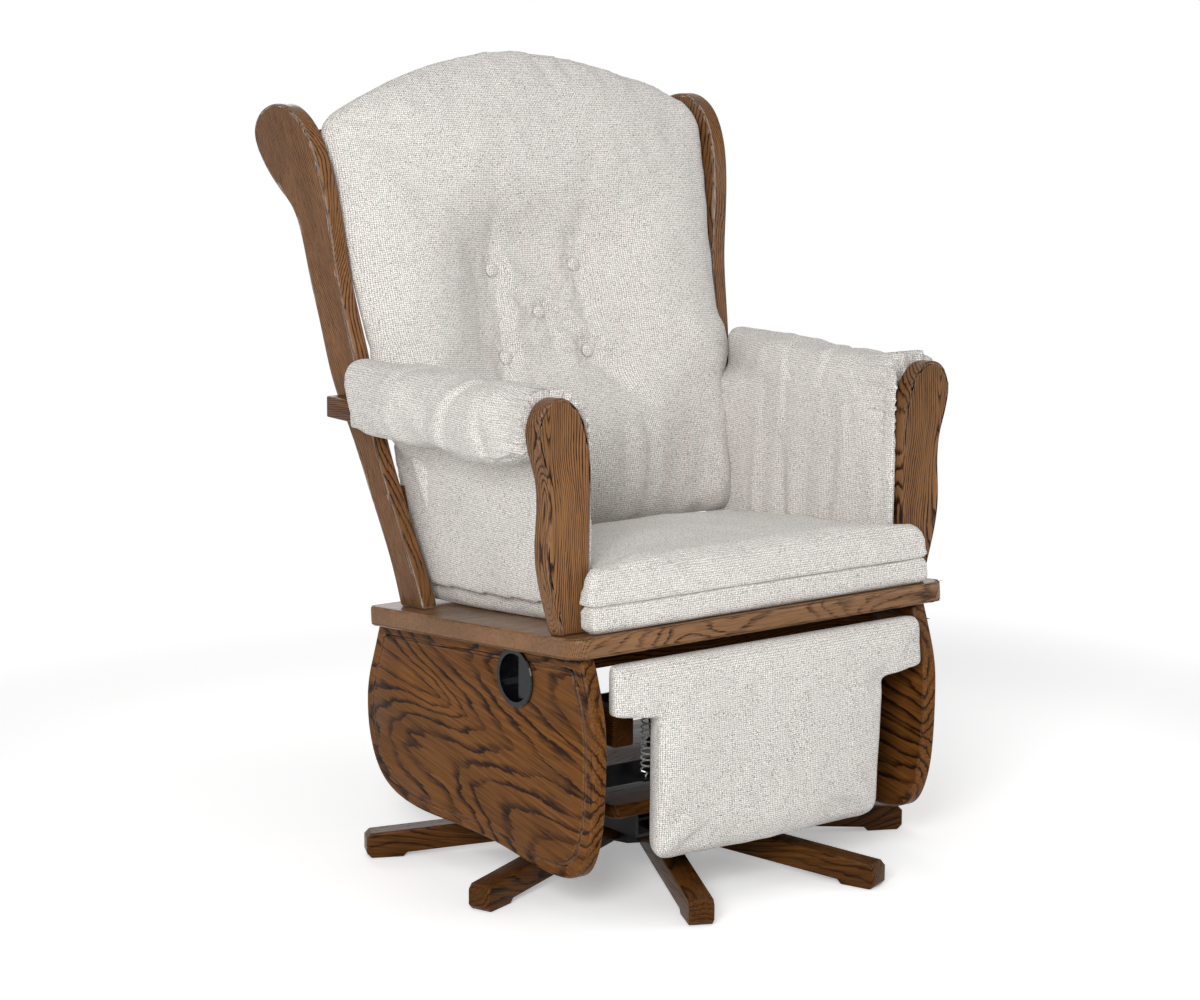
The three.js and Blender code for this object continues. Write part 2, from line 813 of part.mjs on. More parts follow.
// The release cup is a flanged bowl; its paddle swings out about an upright pin.
function makeRelease() {
  const faceX = panelOuterX + touchGap;
  const profile = [
    [0, faceX - cupDepth],
    [cupBodyRadius, faceX - cupDepth],
    [cupBodyRadius, faceX],
    [cupFlangeRadius, faceX],
    [cupFlangeRadius, faceX + cupFlangeThickness / 2],
    [cupFlangeRadius - cupFlangeThickness / 2, faceX + cupFlangeThickness],
    [cupBodyRadius - cupWall, faceX + cupFlangeThickness],
    [cupBodyRadius - cupWall, faceX - cupDepth + cupWall],
    [0, faceX - cupDepth + cupWall],
  ].map(([radius, x]) => new THREE.Vector2(radius, x));
  const cup = new THREE.LatheGeometry(profile, cupSides)
    .rotateZ(-Math.PI / 2)
    .translate(0, cupY, cupZ);
  const paddleX = faceX - paddleInset;
  const freeAngle = Math.acos(paddleFreeReach / paddleRadius);
  const tailAngle = Math.acos((paddleHingeReach + paddleTail) / paddleRadius);
  const outline = new THREE.Shape();
  outline.absarc(cupY, cupZ, paddleRadius, freeAngle, Math.PI - tailAngle);
  outline.absarc(cupY, cupZ, paddleRadius, Math.PI + tailAngle, 2 * Math.PI - freeAngle);
  const flap = boardAlongX(outline, paddleX, paddleThickness, 0);
  const wall = (cupBodyRadius - cupWall) * Math.cos(Math.PI / cupSides);
  const pinReach = Math.sqrt(wall ** 2 - (paddleHingeReach + paddlePinRadius) ** 2) - touchGap;
  const pin = new THREE.CylinderGeometry(paddlePinRadius, paddlePinRadius, 2 * pinReach, 10)
    .rotateX(Math.PI / 2)
    .translate(paddleX + paddleThickness / 2, cupY - paddleHingeReach, cupZ);
  place("release_cup", cup, blackPlastic).scale.x = -1;
  place("release_paddle", joined(flap, pin), blackPlastic).scale.x = -1;
}

// Smooth run through a few outline points
const throughPoints = (points, perSpan) =>
  new THREE.SplineCurve(points).getPoints((points.length - 1) * perSpan);

// Front posts: shaped boards whose feet follow the slope of the deck
function makeFrontPosts() {
  const footZ = deckTopAt(frontPostFaceY) + touchGap;
  const placed = (shares) =>
    shares.map(
      ([x, z]) =>
        new THREE.Vector2(
          frontPostInnerX + frontPostFootWidth * x,
          footZ + frontPostHeight * z,
        ),
    );
  const shape = new THREE.Shape(
    throughPoints([...placed(frontPostInnerShares), ...placed(frontPostOuterShares)], 2),
  );
  const slope = new THREE.Matrix4().set(
    1, 0, 0, 0,
    0, 1, 0, 0,
    0, -Math.tan(deckTilt), 1, frontPostFaceY * Math.tan(deckTilt),
    0, 0, 0, 1,
  );
  const post = boardAlongY(
    shape, frontPostFaceY + frontPostThickness, frontPostThickness, boardEase).applyMatrix4(slope);
  placePair("front_post", post, oak);
}

// Back posts: swan-shaped boards, leaning outwards from their feet
function makeBackPosts() {
  const placed = (shares) =>
    shares.map(([y, z]) => {
      const reach = backPostFootY + backPostReach * y;
      const foot = (z === 0 ? deckTopAt(reach) : backPostFootZ) + touchGap;
      return new THREE.Vector2(reach, foot + backPostHeight * z);
    });
  const shape = new THREE.Shape(
    throughPoints([...placed(backPostFrontShares), ...placed(backPostRearShares)], 2),
  );
  const splay = new THREE.Matrix4().set(
    1, 0, splaySlope, -backPostFootZ * splaySlope,
    0, 1, 0, 0,
    0, 0, 1, 0,
    0, 0, 0, 1,
  );
  const post = boardAlongX(
    shape, backPostOuterX - backPostThickness, backPostThickness, boardEase).applyMatrix4(splay);
  placePair("back_post", post, oak);
}

function armRailBox(extra) {
  return boxBetween(
    [
      armRailInnerX - extra,
      frontPostFaceY + frontPostThickness + touchGap - (extra ? cutOverrun : 0),
      armRailBottom - extra,
    ],
    [
      armRailInnerX + armRailThickness + extra,
      armRailRearY + extra,
      armRailBottom + armRailHeight + extra,
    ],
  );
}

// Rails and slats between the back posts
function makeBackFrame() {
  const rear = backRailDepth + backRailThickness;
  const inside = (z) =>
    postInnerAt(backLineZ + z * Math.cos(backRake) - rear * Math.sin(backRake)) - touchGap;
  const railShape = (bottom, height, arch) => {
    const top = bottom + height;
    const points = [
      [-inside(bottom), bottom],
      [inside(bottom), bottom],
      [inside(top), top],
    ];
    const steps = 8;
    for (let i = 1; i < steps && arch > 0; i++) {
      const across = 1 - (2 * i) / steps;
      points.push([across * inside(top), top + arch * (1 - across ** 2)]);
    }
    points.push([-inside(top), top]);
    return drawn(points);
  };
  place(
    "crest_rail",
    boardAlongY(
      railShape(crestRailBottom, crestRailSideHeight, crestRailArch), rear, backRailThickness, boardEase),
    oak,
    backGroup,
  );
  place(
    "lower_back_rail",
    boardAlongY(railShape(lowerRailBottom, lowerRailHeight, 0), rear, backRailThickness, boardEase),
    oak,
    backGroup,
  );
  const slatFront = backRailDepth + (backRailThickness - slatThickness) / 2;
  for (let i = 0; i < slatCount; i++) {
    const x = (i - (slatCount - 1) / 2) * slatPitch;
    const low = lowerRailBottom + lowerRailHeight + touchGap;
    const high = crestRailBottom - touchGap;
    const slat = roundedRectangle(
      x - slatWidth / 2, low, x + slatWidth / 2, high, boardEase, boardEase);
    place(
      "back_slat_" + (i + 1),
      board(slat, slatThickness, boardEase, 1)
        .rotateX(Math.PI / 2)
        .translate(0, slatFront + slatThickness, 0),
      oak,
      backGroup,
    );
  }
}

// How far back the seat's ears reach at a height above the deck, in front of the arm posts
const earRearAt = (height) =>
  (frontPostFaceY - deckFrontY - height * Math.sin(deckTilt)) / Math.cos(deckTilt) - softGap;

// The seat's half width: full in front of the arm posts, narrower between the arm cushions
function seatHalfAt(along, earDepth) {
  const turn = (along - earDepth) / softGap + 1;
  const share = THREE.MathUtils.clamp((1 - turn) / 2, 0, 1);
  return seatHalfWidth + (earHalfWidth - seatHalfWidth) * share;
}

function makeSeat() {
  const front = seatFrontSetback;
  const inner = seatHalfWidth;
  const ear = earRearAt(platformHeight);
  const outline = drawn([
    [-earHalfWidth, front],
    [earHalfWidth, front],
    [earHalfWidth, ear],
    [inner, ear],
    [inner, front + platformDepth],
    [-inner, front + platformDepth],
    [-inner, ear],
    [-earHalfWidth, ear],
  ]);
  place(
    "seat_platform",
    board(outline, platformHeight, platformEase).translate(0, 0, touchGap),
    fabric,
    deckGroup,
  );
  const earDepth = earRearAt(platformHeight + seatCushionHeight + seatCrown) - front;
  const alongs = rimSpaced(0, seatCushionDepth, seatCushionRim, 8).flatMap((along, i, all) =>
    along < earDepth && all[i + 1] > earDepth
      ? [along, earDepth - 2 * softGap, earDepth]
      : [along],
  );
  const rimHeight = seatCushionHeight / 2;
  const geometry = closedCushion({
    alongs,
    rim: seatCushionRim,
    columnSteps: 9,
    halfAt: (along) =>
      seatHalfAt(along, earDepth) - seatSideDraw * Math.sin((Math.PI * along) / seatCushionDepth),
    frontAt: (x, y, across) =>
      rimHeight + seatCrown * (1 - across ** 2) * Math.sin((Math.PI * y) / seatCushionDepth),
    backAt: () => rimHeight - touchGap,
  });
  place(
    "seat_cushion",
    geometry.translate(0, front, platformHeight + 2 * touchGap + rimHeight),
    fabric,
    deckGroup,
  );
}

// Back cushion: arched top, crowned front, five buttons sewn in
function makeBackCushion() {
  const high = backCushionBottom + backCushionSideHeight;
  const worldZ = (along) => backLineZ + along * Math.cos(backRake);
  const bell = (distance, spread) => Math.exp(-((distance / spread) ** 2) / 2);
  const upperHalf = (z) => postInnerAt(z) - 2 * softGap;
  const halfAt = (along) => {
    const z = worldZ(along);
    const widen = THREE.MathUtils.smoothstep(z, backCushionWidenStart, backCushionWidenEnd);
    const low = armPanelInnerX - armPanelFold - softGap;
    const corner = Math.max(along - (high - backCushionCornerRadius), 0);
    const drawIn =
      backCushionCornerRadius - Math.sqrt(backCushionCornerRadius ** 2 - corner ** 2);
    return low + (upperHalf(z) - low) * widen - drawIn;
  };
  const tufts = tuftPlaceShares.map(([x, z]) => [
    x * halfAt(0),
    backCushionBottom + (backCushionSideHeight + backCushionArch) * z,
  ]);
  const depthAt = (x, y, across, along) => {
    const up = (along - backCushionBottom) / backCushionSideHeight;
    const crown = backCushionCrown * (1 - across ** 4) * Math.sin(Math.PI * up) ** 0.5;
    const lumbar =
      backCushionLumbar * bell(along - backCushionLumbarHeight, backCushionLumbarSpread);
    const dish =
      backCushionDish *
      bell(x, backCushionDishSpread) *
      bell(along - backCushionDishHeight, backCushionDishSpread);
    const pulled = tufts.reduce(
      (sum, [tx, tz]) =>
        sum + bell(Math.hypot(x - tx, y - tz), tuftSpread / 2),
      0,
    );
    return backCushionFront + crown + lumbar - dish - tuftSink * Math.min(pulled, 1);
  };
  const geometry = closedCushion({
    alongs: rimSpaced(backCushionBottom, high, backCushionRim, 15),
    halfAt,
    rim: backCushionRim,
    columnSteps: 12,
    frontAt: depthAt,
    backAt: () => backRailDepth - touchGap,
    shiftAt: (across, up) => backCushionArch * (1 - across ** 2) * up ** 2,
  });
  const buttons = tufts.map(([x, y]) => {
    const up = (y - backCushionBottom) / (backCushionSideHeight + backCushionArch);
    const depth = depthAt(x, y, x / halfAt(y), backCushionBottom + up * backCushionSideHeight);
    const rounded = [
      [0, -2 * tuftHeight],
      [tuftRadius, -2 * tuftHeight],
      [tuftRadius, tuftHeight / 4],
      [tuftRadius * 0.7, tuftHeight * 0.8],
      [0, tuftHeight],
    ].map(([radius, z]) => new THREE.Vector2(radius, z));
    return new THREE.LatheGeometry(rounded, 12)
      .rotateX(Math.PI / 2)
      .translate(x, y, depth + tuftHeight / 2);
  });
  place(
    "back_cushion",
    joined(geometry, ...buttons).rotateX(Math.PI / 2),
    fabric,
    backGroup,
  );
}

// Arm cushions: rings along Y, each a roll with the panel hanging from its inner side
function armRing(y, share, lean, tail) {
  const rearward = THREE.MathUtils.smoothstep(y, 0, armCushionRearY);
  const centreX = rollCentreX + (rollRearCentreX - rollCentreX) * rearward;
  const halfWidth = (rollHalfWidth + (rollRearHalfWidth - rollHalfWidth) * rearward) * share;
  const halfHeight = rollHalfHeight * share;
  const hemZ = deckTopAt(y) + armPanelHemGap;
  const fold = (z) =>
    (armPanelFold * (1 + Math.sin((2 * Math.PI * y) / armPanelFoldPitch)) * (rollCentreZ - z)) /
    (2 * (rollCentreZ - hemZ));
  const points = [];
  const innerTop = rollCentreZ - rollHalfHeight / 3;
  const panelSteps = 4;
  const padding = (i) => armPanelPadding * ((2 * i) / panelSteps - 1) ** 2;
  for (let i = 0; i <= panelSteps; i++) {
    const z = hemZ + ((innerTop - hemZ) * i) / panelSteps;
    points.push([armPanelInnerX - fold(z) + armPanelFold + padding(i), z]);
  }
  const rollSteps = 15;
  const start = Math.PI * 1.02;
  const end = -Math.PI * 0.72;
  for (let i = 0; i <= rollSteps; i++) {
    const turn = start + ((end - start) * i) / rollSteps;
    const power = 0.85;
    const cos = Math.cos(turn);
    const sin = Math.sin(turn);
    const x = centreX + halfWidth * Math.sign(cos) * Math.abs(cos) ** power;
    points.push([
      Math.max(x, armPanelInnerX + armPanelFold / 2),
      rollCentreZ + halfHeight * Math.sign(sin) * Math.abs(sin) ** power,
    ]);
  }
  for (let i = panelSteps - 1; i >= 0; i--)
    points.push([
      armPanelOuterX - padding(i),
      hemZ + ((innerTop - rollHalfHeight / 2 - hemZ) * i) / panelSteps,
    ]);
  return points.map(([x, z]) => {
    const up = Math.min((z - hemZ) / (innerTop - hemZ), 1);
    const reach = x < armPanelOuterX + touchGap ? tail * (1 - up ** 6) : 0;
    return new THREE.Vector3(x, y + lean * (z - hemZ) + reach, z);
  });
}

function makeArms() {
  const frontY = frontPostFaceY + frontPostThickness + touchGap;
  const rings = [];
  const steps = 14;
  const endShares = [[0, 0.8], [0.1, 0.9], [0.4, 0.98]];
  for (const [along, share] of endShares)
    rings.push(armRing(frontY + armCushionEndRound * along, share, 0, 0));
  for (let i = 0; i <= steps; i++) {
    const way = i / steps;
    const from = frontY + armCushionEndRound;
    const to = armCushionRearY - armCushionEndRound / 2;
    rings.push(
      armRing(from + (to - from) * way, 1, armCushionRearLean * way ** 2, armPanelTail * way ** 4),
    );
  }
  const rearRounds = [[0.12, 0.95], [0, 0.82]];
  for (const [along, share] of rearRounds)
    rings.push(
      armRing(
        armCushionRearY - armCushionEndRound * along, share, armCushionRearLean, armPanelTail),
    );
  const cushionGeometry = loft(rings);
  placePair("arm_rail", armRailBox(0), oak);
  placePair("arm_cushion", cut(cushionGeometry, armRailBox(pivotGap)), fabric);
}

// The footrest pad's half width: broad wings above, a narrower body below
function footrestHalfAt(z) {
  const round = footrestCornerRadius / 2;
  const down = THREE.MathUtils.smoothstep(z, footrestWingBottom - round, footrestWingBottom);
  const half = footrestBodyHalfWidth + (footrestWingHalfWidth - footrestBodyHalfWidth) * down;
  const corner = footrestCornerRadius - Math.min(z - footrestBottom, footrestCornerRadius);
  const drawIn = footrestCornerRadius - Math.sqrt(footrestCornerRadius ** 2 - corner ** 2);
  return half - drawIn;
}

function makeFootrest() {
  const wing = [0.75, 0.5, 0.25, 0].map(
    (share) => footrestWingBottom - (footrestCornerRadius / 2) * share,
  );
  const alongs = [
    ...rimSpaced(footrestBottom, footrestTop, footrestRim, 6),
    ...wing,
    footrestBottom + footrestCornerRadius / 2,
    footrestBottom + footrestCornerRadius,
    footrestWingBottom - footrestCornerRadius / 2,
  ].sort((a, b) => a - b);
  const half = footrestPadThickness / 2;
  const pad = closedCushion({
    alongs,
    halfAt: footrestHalfAt,
    rim: footrestRim,
    columnSteps: 6,
    frontAt: (x, y, across) => half + footrestCrown * (1 - across ** 2),
    backAt: () => half,
  })
    .rotateX(Math.PI / 2)
    .translate(0, footrestBackY - half, 0);
  place("footrest_pad", pad, fabric);

  const boardFront = footrestBackY + touchGap;
  const boardBack = boardFront + footrestBoardThickness;
  const wide = footrestWingHalfWidth - footrestBoardInset;
  const narrow = footrestBodyHalfWidth - footrestBoardInset;
  const low = footrestBottom + footrestBoardInset;
  const shoulder = footrestWingBottom + footrestBoardInset;
  const high = footrestTop - footrestBoardInset;
  const outline = drawn([
    [-narrow, low],
    [narrow, low],
    [narrow, shoulder],
    [wide, shoulder],
    [wide, high],
    [-wide, high],
    [-wide, shoulder],
    [-narrow, shoulder],
  ]);
  const lowerArmX = footrestArmX + footrestArmThickness + pivotGap;
  const earX = lowerArmX + footrestArmThickness + pivotGap;
  const earHole = (side) => {
    const near = side * (earX - cutOverrun);
    const far = side * (earX + footrestEarThickness + cutOverrun);
    return barAlongX(
      Math.min(near, far), Math.max(near, far), padPivotY, padPivotZ, footrestPinRadius + pivotGap);
  };
  const ears = [-1, 1].map((side) => {
    const inner = side * earX;
    const outer = side * (earX + footrestEarThickness);
    return boardAlongX(
      drawn([
        [boardBack - footrestBoardThickness / 2, padPivotZ - footrestArmWidth],
        [padPivotY + footrestArmWidth / 2, padPivotZ - footrestArmWidth / 2],
        [padPivotY + footrestArmWidth / 2, padPivotZ + footrestArmWidth / 2],
        [boardBack - footrestBoardThickness / 2, padPivotZ + footrestArmWidth],
      ]),
      Math.min(inner, outer),
      footrestEarThickness,
      0,
    );
  });
  const panel = boardAlongY(outline, boardBack, footrestBoardThickness, 0);
  place("footrest_board", cut(joined(panel, ...ears), earHole(-1), earHole(1)), blackSteel);
  makeFootrestArms(lowerArmX, earX);
}

// Footrest arms: a mount under the deck, upper arms on a torque tube, lower arms on a spreader
function makeFootrestArms(lowerArmX, earX) {
  const mountTop = deckUnderAt(footrestMountY) - touchGap;
  const earReach = 20;
  const mountEarX = footrestArmX + footrestArmThickness + pivotGap;
  const along = (y) => deckUnderAt(y) - touchGap;
  const plateFront = footrestMountY - earReach;
  const plateRear = footrestMountY + earReach;
  const plate = boardAlongX(
    drawn([
      [plateFront, along(plateFront) - footrestMountThickness],
      [plateRear, along(plateRear) - footrestMountThickness],
      [plateRear, along(plateRear)],
      [plateFront, along(plateFront)],
    ]),
    -footrestMountLength / 2,
    footrestMountLength,
    0,
  );
  const both = [-1, 1];
  const spanX = (side, near, far) => [Math.min(side * near, side * far), Math.max(side * near, side * far)];
  const mountEars = both.map((side) => {
    const [x0] = spanX(side, mountEarX, mountEarX + footrestEarThickness);
    const earShape = drawn([
      [footrestMountY - footrestArmWidth / 2, footrestMountZ - footrestArmWidth / 2],
      [footrestMountY + footrestArmWidth / 2, footrestMountZ - footrestArmWidth / 2],
      [footrestMountY + earReach, mountTop - 2 * footrestMountThickness / 3],
      [footrestMountY - earReach, mountTop - footrestMountThickness / 3],
    ]);
    return boardAlongX(earShape, x0, footrestEarThickness, 0);
  });
  const mountHoles = both.map((side) => {
    const [x0, x1] = spanX(side, mountEarX - cutOverrun, mountEarX + footrestEarThickness + cutOverrun);
    return barAlongX(x0, x1, footrestMountY, footrestMountZ, footrestPinRadius + pivotGap);
  });
  place("footrest_mount", cut(joined(plate, ...mountEars), ...mountHoles), blackSteel);

  const upper = [];
  const lower = [];
  const kneeHoles = [];
  for (const side of both) {
    const [armLow] = spanX(side, footrestArmX, footrestArmX + footrestArmThickness);
    upper.push(
      boardAlongX(
        linkShape([kneeY, kneeZ], [footrestMountY, footrestMountZ], footrestArmWidth),
        armLow,
        footrestArmThickness,
        0,
      ),
    );
    const [pinLow, pinHigh] = spanX(side, footrestArmX, mountEarX + footrestEarThickness + touchGap);
    upper.push(barAlongX(pinLow, pinHigh, footrestMountY, footrestMountZ, footrestPinRadius));
    const kneeEnd = lowerArmX + footrestArmThickness + touchGap;
    const [kneeLow, kneeHigh] = spanX(side, footrestArmX, kneeEnd + pivotHeadThickness);
    upper.push(barAlongX(kneeLow, kneeHigh, kneeY, kneeZ, footrestPinRadius));
    const [headLow, headHigh] = spanX(side, kneeEnd, kneeEnd + pivotHeadThickness);
    upper.push(barAlongX(headLow, headHigh, kneeY, kneeZ, footrestPinHead));
    const [lowerLow] = spanX(side, lowerArmX, lowerArmX + footrestArmThickness);
    lower.push(
      boardAlongX(
        linkShape([kneeY, kneeZ], [padPivotY, padPivotZ], footrestArmWidth),
        lowerLow,
        footrestArmThickness,
        0,
      ),
    );
    const [holeLow, holeHigh] = spanX(side, lowerArmX - pivotGap / 2, kneeEnd);
    kneeHoles.push(barAlongX(holeLow, holeHigh, kneeY, kneeZ, footrestPinRadius + pivotGap));
  }
  upper.push(
    barAlongX(-footrestArmX - touchGap, footrestArmX + touchGap, footrestMountY, footrestMountZ, torqueTubeRadius),
  );
  const spreaderEnd = earX + footrestEarThickness + touchGap;
  lower.push(barAlongX(-spreaderEnd, spreaderEnd, padPivotY, padPivotZ, spreaderRadius));
  place("footrest_upper_arms", joined(...upper), blackSteel);
  place("footrest_lower_arms", cut(joined(...lower), ...kneeHoles), blackSteel);
}

// Extension springs: one wire that leaves the axis, coils and comes back to it
function makeSprings() {
  const springY = frontBarY - carriageBarThickness - springTabReach / 2;
  const top = deckUnderAt(springY) - frontDeckRailHeight / Math.cos(deckTilt) - 3 * touchGap;
  const coilTop = top - springShank;
  const lead = 2 * springWireDiameter;
  const shankTop = springLowerZ + springWireDiameter;
  const coilBottom = springLowerZ + 2 * lead;
  const pitch = (coilTop - lead - coilBottom) / springCurls;
  const points = [
    new THREE.Vector3(0, 0, springLowerZ),
    new THREE.Vector3(0, 0, shankTop),
  ];
  const leadSteps = springCurlSteps / 2;
  const at = (turn, radius, z) =>
    points.push(new THREE.Vector3(radius * Math.cos(turn), radius * Math.sin(turn), z));
  for (let i = 1; i < leadSteps; i++)
    at(
      (-Math.PI * (leadSteps - i)) / leadSteps,
      (springCoilRadius * i) / leadSteps,
      shankTop + ((coilBottom - shankTop) * i) / leadSteps,
    );
  const steps = springCurls * springCurlSteps;
  for (let i = 0; i <= steps; i++)
    at((2 * Math.PI * i) / springCurlSteps, springCoilRadius, coilBottom + (pitch * i) / springCurlSteps);
  for (let i = 1; i < leadSteps; i++)
    at(
      (Math.PI * i) / leadSteps,
      springCoilRadius * (1 - i / leadSteps),
      coilTop - lead + (lead * i) / leadSteps,
    );
  points.push(new THREE.Vector3(0, 0, coilTop));
  points.push(new THREE.Vector3(0, 0, top - springWireDiameter));
  points.push(new THREE.Vector3(0, 0, top));
  const gap = leastSelfGap(points, springWireDiameter, springCurlSteps);
  console.log("spring: least gap to itself " + gap.toFixed(2) + " mm");
  const wire = tube(points, springWireDiameter / 2, springSides).translate(springX, springY, 0);
  placePair("spring", wire, zincSteel);
}

// The least distance between points more than half a curl apart, less the wire
function leastSelfGap(points, wire, stepsPerCurl) {
  let least = Infinity;
  points.forEach((point, i) => {
    for (let k = i + stepsPerCurl / 2 + 1; k < points.length; k++)
      least = Math.min(least, point.distanceTo(points[k]));
  });
  return least - wire;
}

makeBase();
makeSwivel();
makeStands();
makeLinks();
makeCarriage();
makeDeck();
makePanels();
makeRelease();
makeFrontPosts();
makeBackPosts();
makeBackFrame();
makeSeat();
makeBackCushion();
makeArms();
makeFootrest();
makeSprings();

// The origin is under the middle of the whole chair, on the floor.
const extent = new THREE.Box3().setFromObject(chair, true);
chair.position.y = -(extent.min.y + extent.max.y) / 2;

export default chair;
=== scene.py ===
"""Looks of the swivel glider recliner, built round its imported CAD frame, in metres."""

import json
import math

import bmesh
import bpy
import numpy as np
from mathutils import Matrix, Vector
from mathutils.bvhtree import BVHTree

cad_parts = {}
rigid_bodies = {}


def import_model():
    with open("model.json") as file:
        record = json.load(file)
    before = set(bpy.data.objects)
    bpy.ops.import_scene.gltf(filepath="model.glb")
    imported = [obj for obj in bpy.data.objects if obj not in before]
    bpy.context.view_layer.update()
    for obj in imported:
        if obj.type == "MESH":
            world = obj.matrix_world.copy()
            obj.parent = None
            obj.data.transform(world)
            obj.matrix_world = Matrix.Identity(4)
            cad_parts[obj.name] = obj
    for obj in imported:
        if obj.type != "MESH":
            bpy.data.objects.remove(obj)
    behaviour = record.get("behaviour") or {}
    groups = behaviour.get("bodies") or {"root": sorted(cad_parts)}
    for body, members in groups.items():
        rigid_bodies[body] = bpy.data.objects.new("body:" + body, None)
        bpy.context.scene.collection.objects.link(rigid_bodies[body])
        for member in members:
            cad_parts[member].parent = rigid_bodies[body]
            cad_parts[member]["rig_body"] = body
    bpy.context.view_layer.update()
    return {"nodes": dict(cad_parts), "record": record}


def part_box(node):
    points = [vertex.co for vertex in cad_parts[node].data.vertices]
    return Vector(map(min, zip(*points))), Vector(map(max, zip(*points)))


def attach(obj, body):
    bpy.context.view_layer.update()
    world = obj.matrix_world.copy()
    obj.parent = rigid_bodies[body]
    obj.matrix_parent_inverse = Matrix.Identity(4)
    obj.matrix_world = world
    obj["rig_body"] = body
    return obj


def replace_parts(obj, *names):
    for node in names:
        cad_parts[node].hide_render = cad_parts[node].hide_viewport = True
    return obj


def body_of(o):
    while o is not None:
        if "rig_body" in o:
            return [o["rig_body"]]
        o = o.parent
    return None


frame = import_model()
scene = bpy.context.scene

# Named places of the frame, in metres
MM = 0.001
FRAME_SHIFT_Y = -0.02694028
BACK_RAKE = math.radians(15.8)
BACK_LINE = np.array((0, 0.144 + FRAME_SHIFT_Y, 0.451))
BACK_UP = np.array((0, math.sin(BACK_RAKE), math.cos(BACK_RAKE)))
BACK_OUT = np.array((0, -math.cos(BACK_RAKE), math.sin(BACK_RAKE)))
DECK_TILT = math.radians(4.8)

# Camera, solved from the photograph's straight edges
PHOTO_WIDTH_PX = 1200
FOCAL_PX = 2926.81
SENSOR_WIDTH_MM = 36
CLIP_END = 60
CAMERA_PLACE = Vector((-2.498, -3.24144, 1.2359))
CAMERA_YAW = math.radians(37.05)
CAMERA_PITCH = math.radians(10.26)
CAMERA_ROLL = math.radians(0.38)


def make_camera():
    data = bpy.data.cameras.new("camera")
    data.sensor_width = SENSOR_WIDTH_MM
    data.lens = FOCAL_PX / PHOTO_WIDTH_PX * SENSOR_WIDTH_MM
    data.clip_end = CLIP_END
    camera = bpy.data.objects.new("camera", data)
    scene.collection.objects.link(camera)
    ahead = Vector(
        (
            math.sin(CAMERA_YAW) * math.cos(CAMERA_PITCH),
            math.cos(CAMERA_YAW) * math.cos(CAMERA_PITCH),
            -math.sin(CAMERA_PITCH),
        )
    )
    right = Vector((math.cos(CAMERA_YAW), -math.sin(CAMERA_YAW), 0))
    up = right.cross(ahead)
    x = right * math.cos(CAMERA_ROLL) + up * math.sin(CAMERA_ROLL)
    y = -right * math.sin(CAMERA_ROLL) + up * math.cos(CAMERA_ROLL)
    turn = Matrix((x, y, -ahead)).transposed()
    camera.matrix_world = Matrix.Translation(CAMERA_PLACE) @ turn.to_4x4()
    scene.camera = camera


def area_light(name, place, aim, size, power):
    data = bpy.data.lights.new(name, "AREA")
    data.shape = "RECTANGLE"
    data.size, data.size_y = size
    data.energy = power
    light = bpy.data.objects.new(name, data)
    scene.collection.objects.link(light)
    light.location = place
    light.rotation_euler = (Vector(aim) - Vector(place)).to_track_quat("-Z", "Y").to_euler()


def linear(colour):
    """An sRGB colour of 0 to 255 as linear RGBA."""
    parts = [value / 255 for value in colour]
    return tuple(
        value / 12.92 if value <= 0.04045 else ((value + 0.055) / 1.055) ** 2.4
        for value in parts
    ) + (1,)


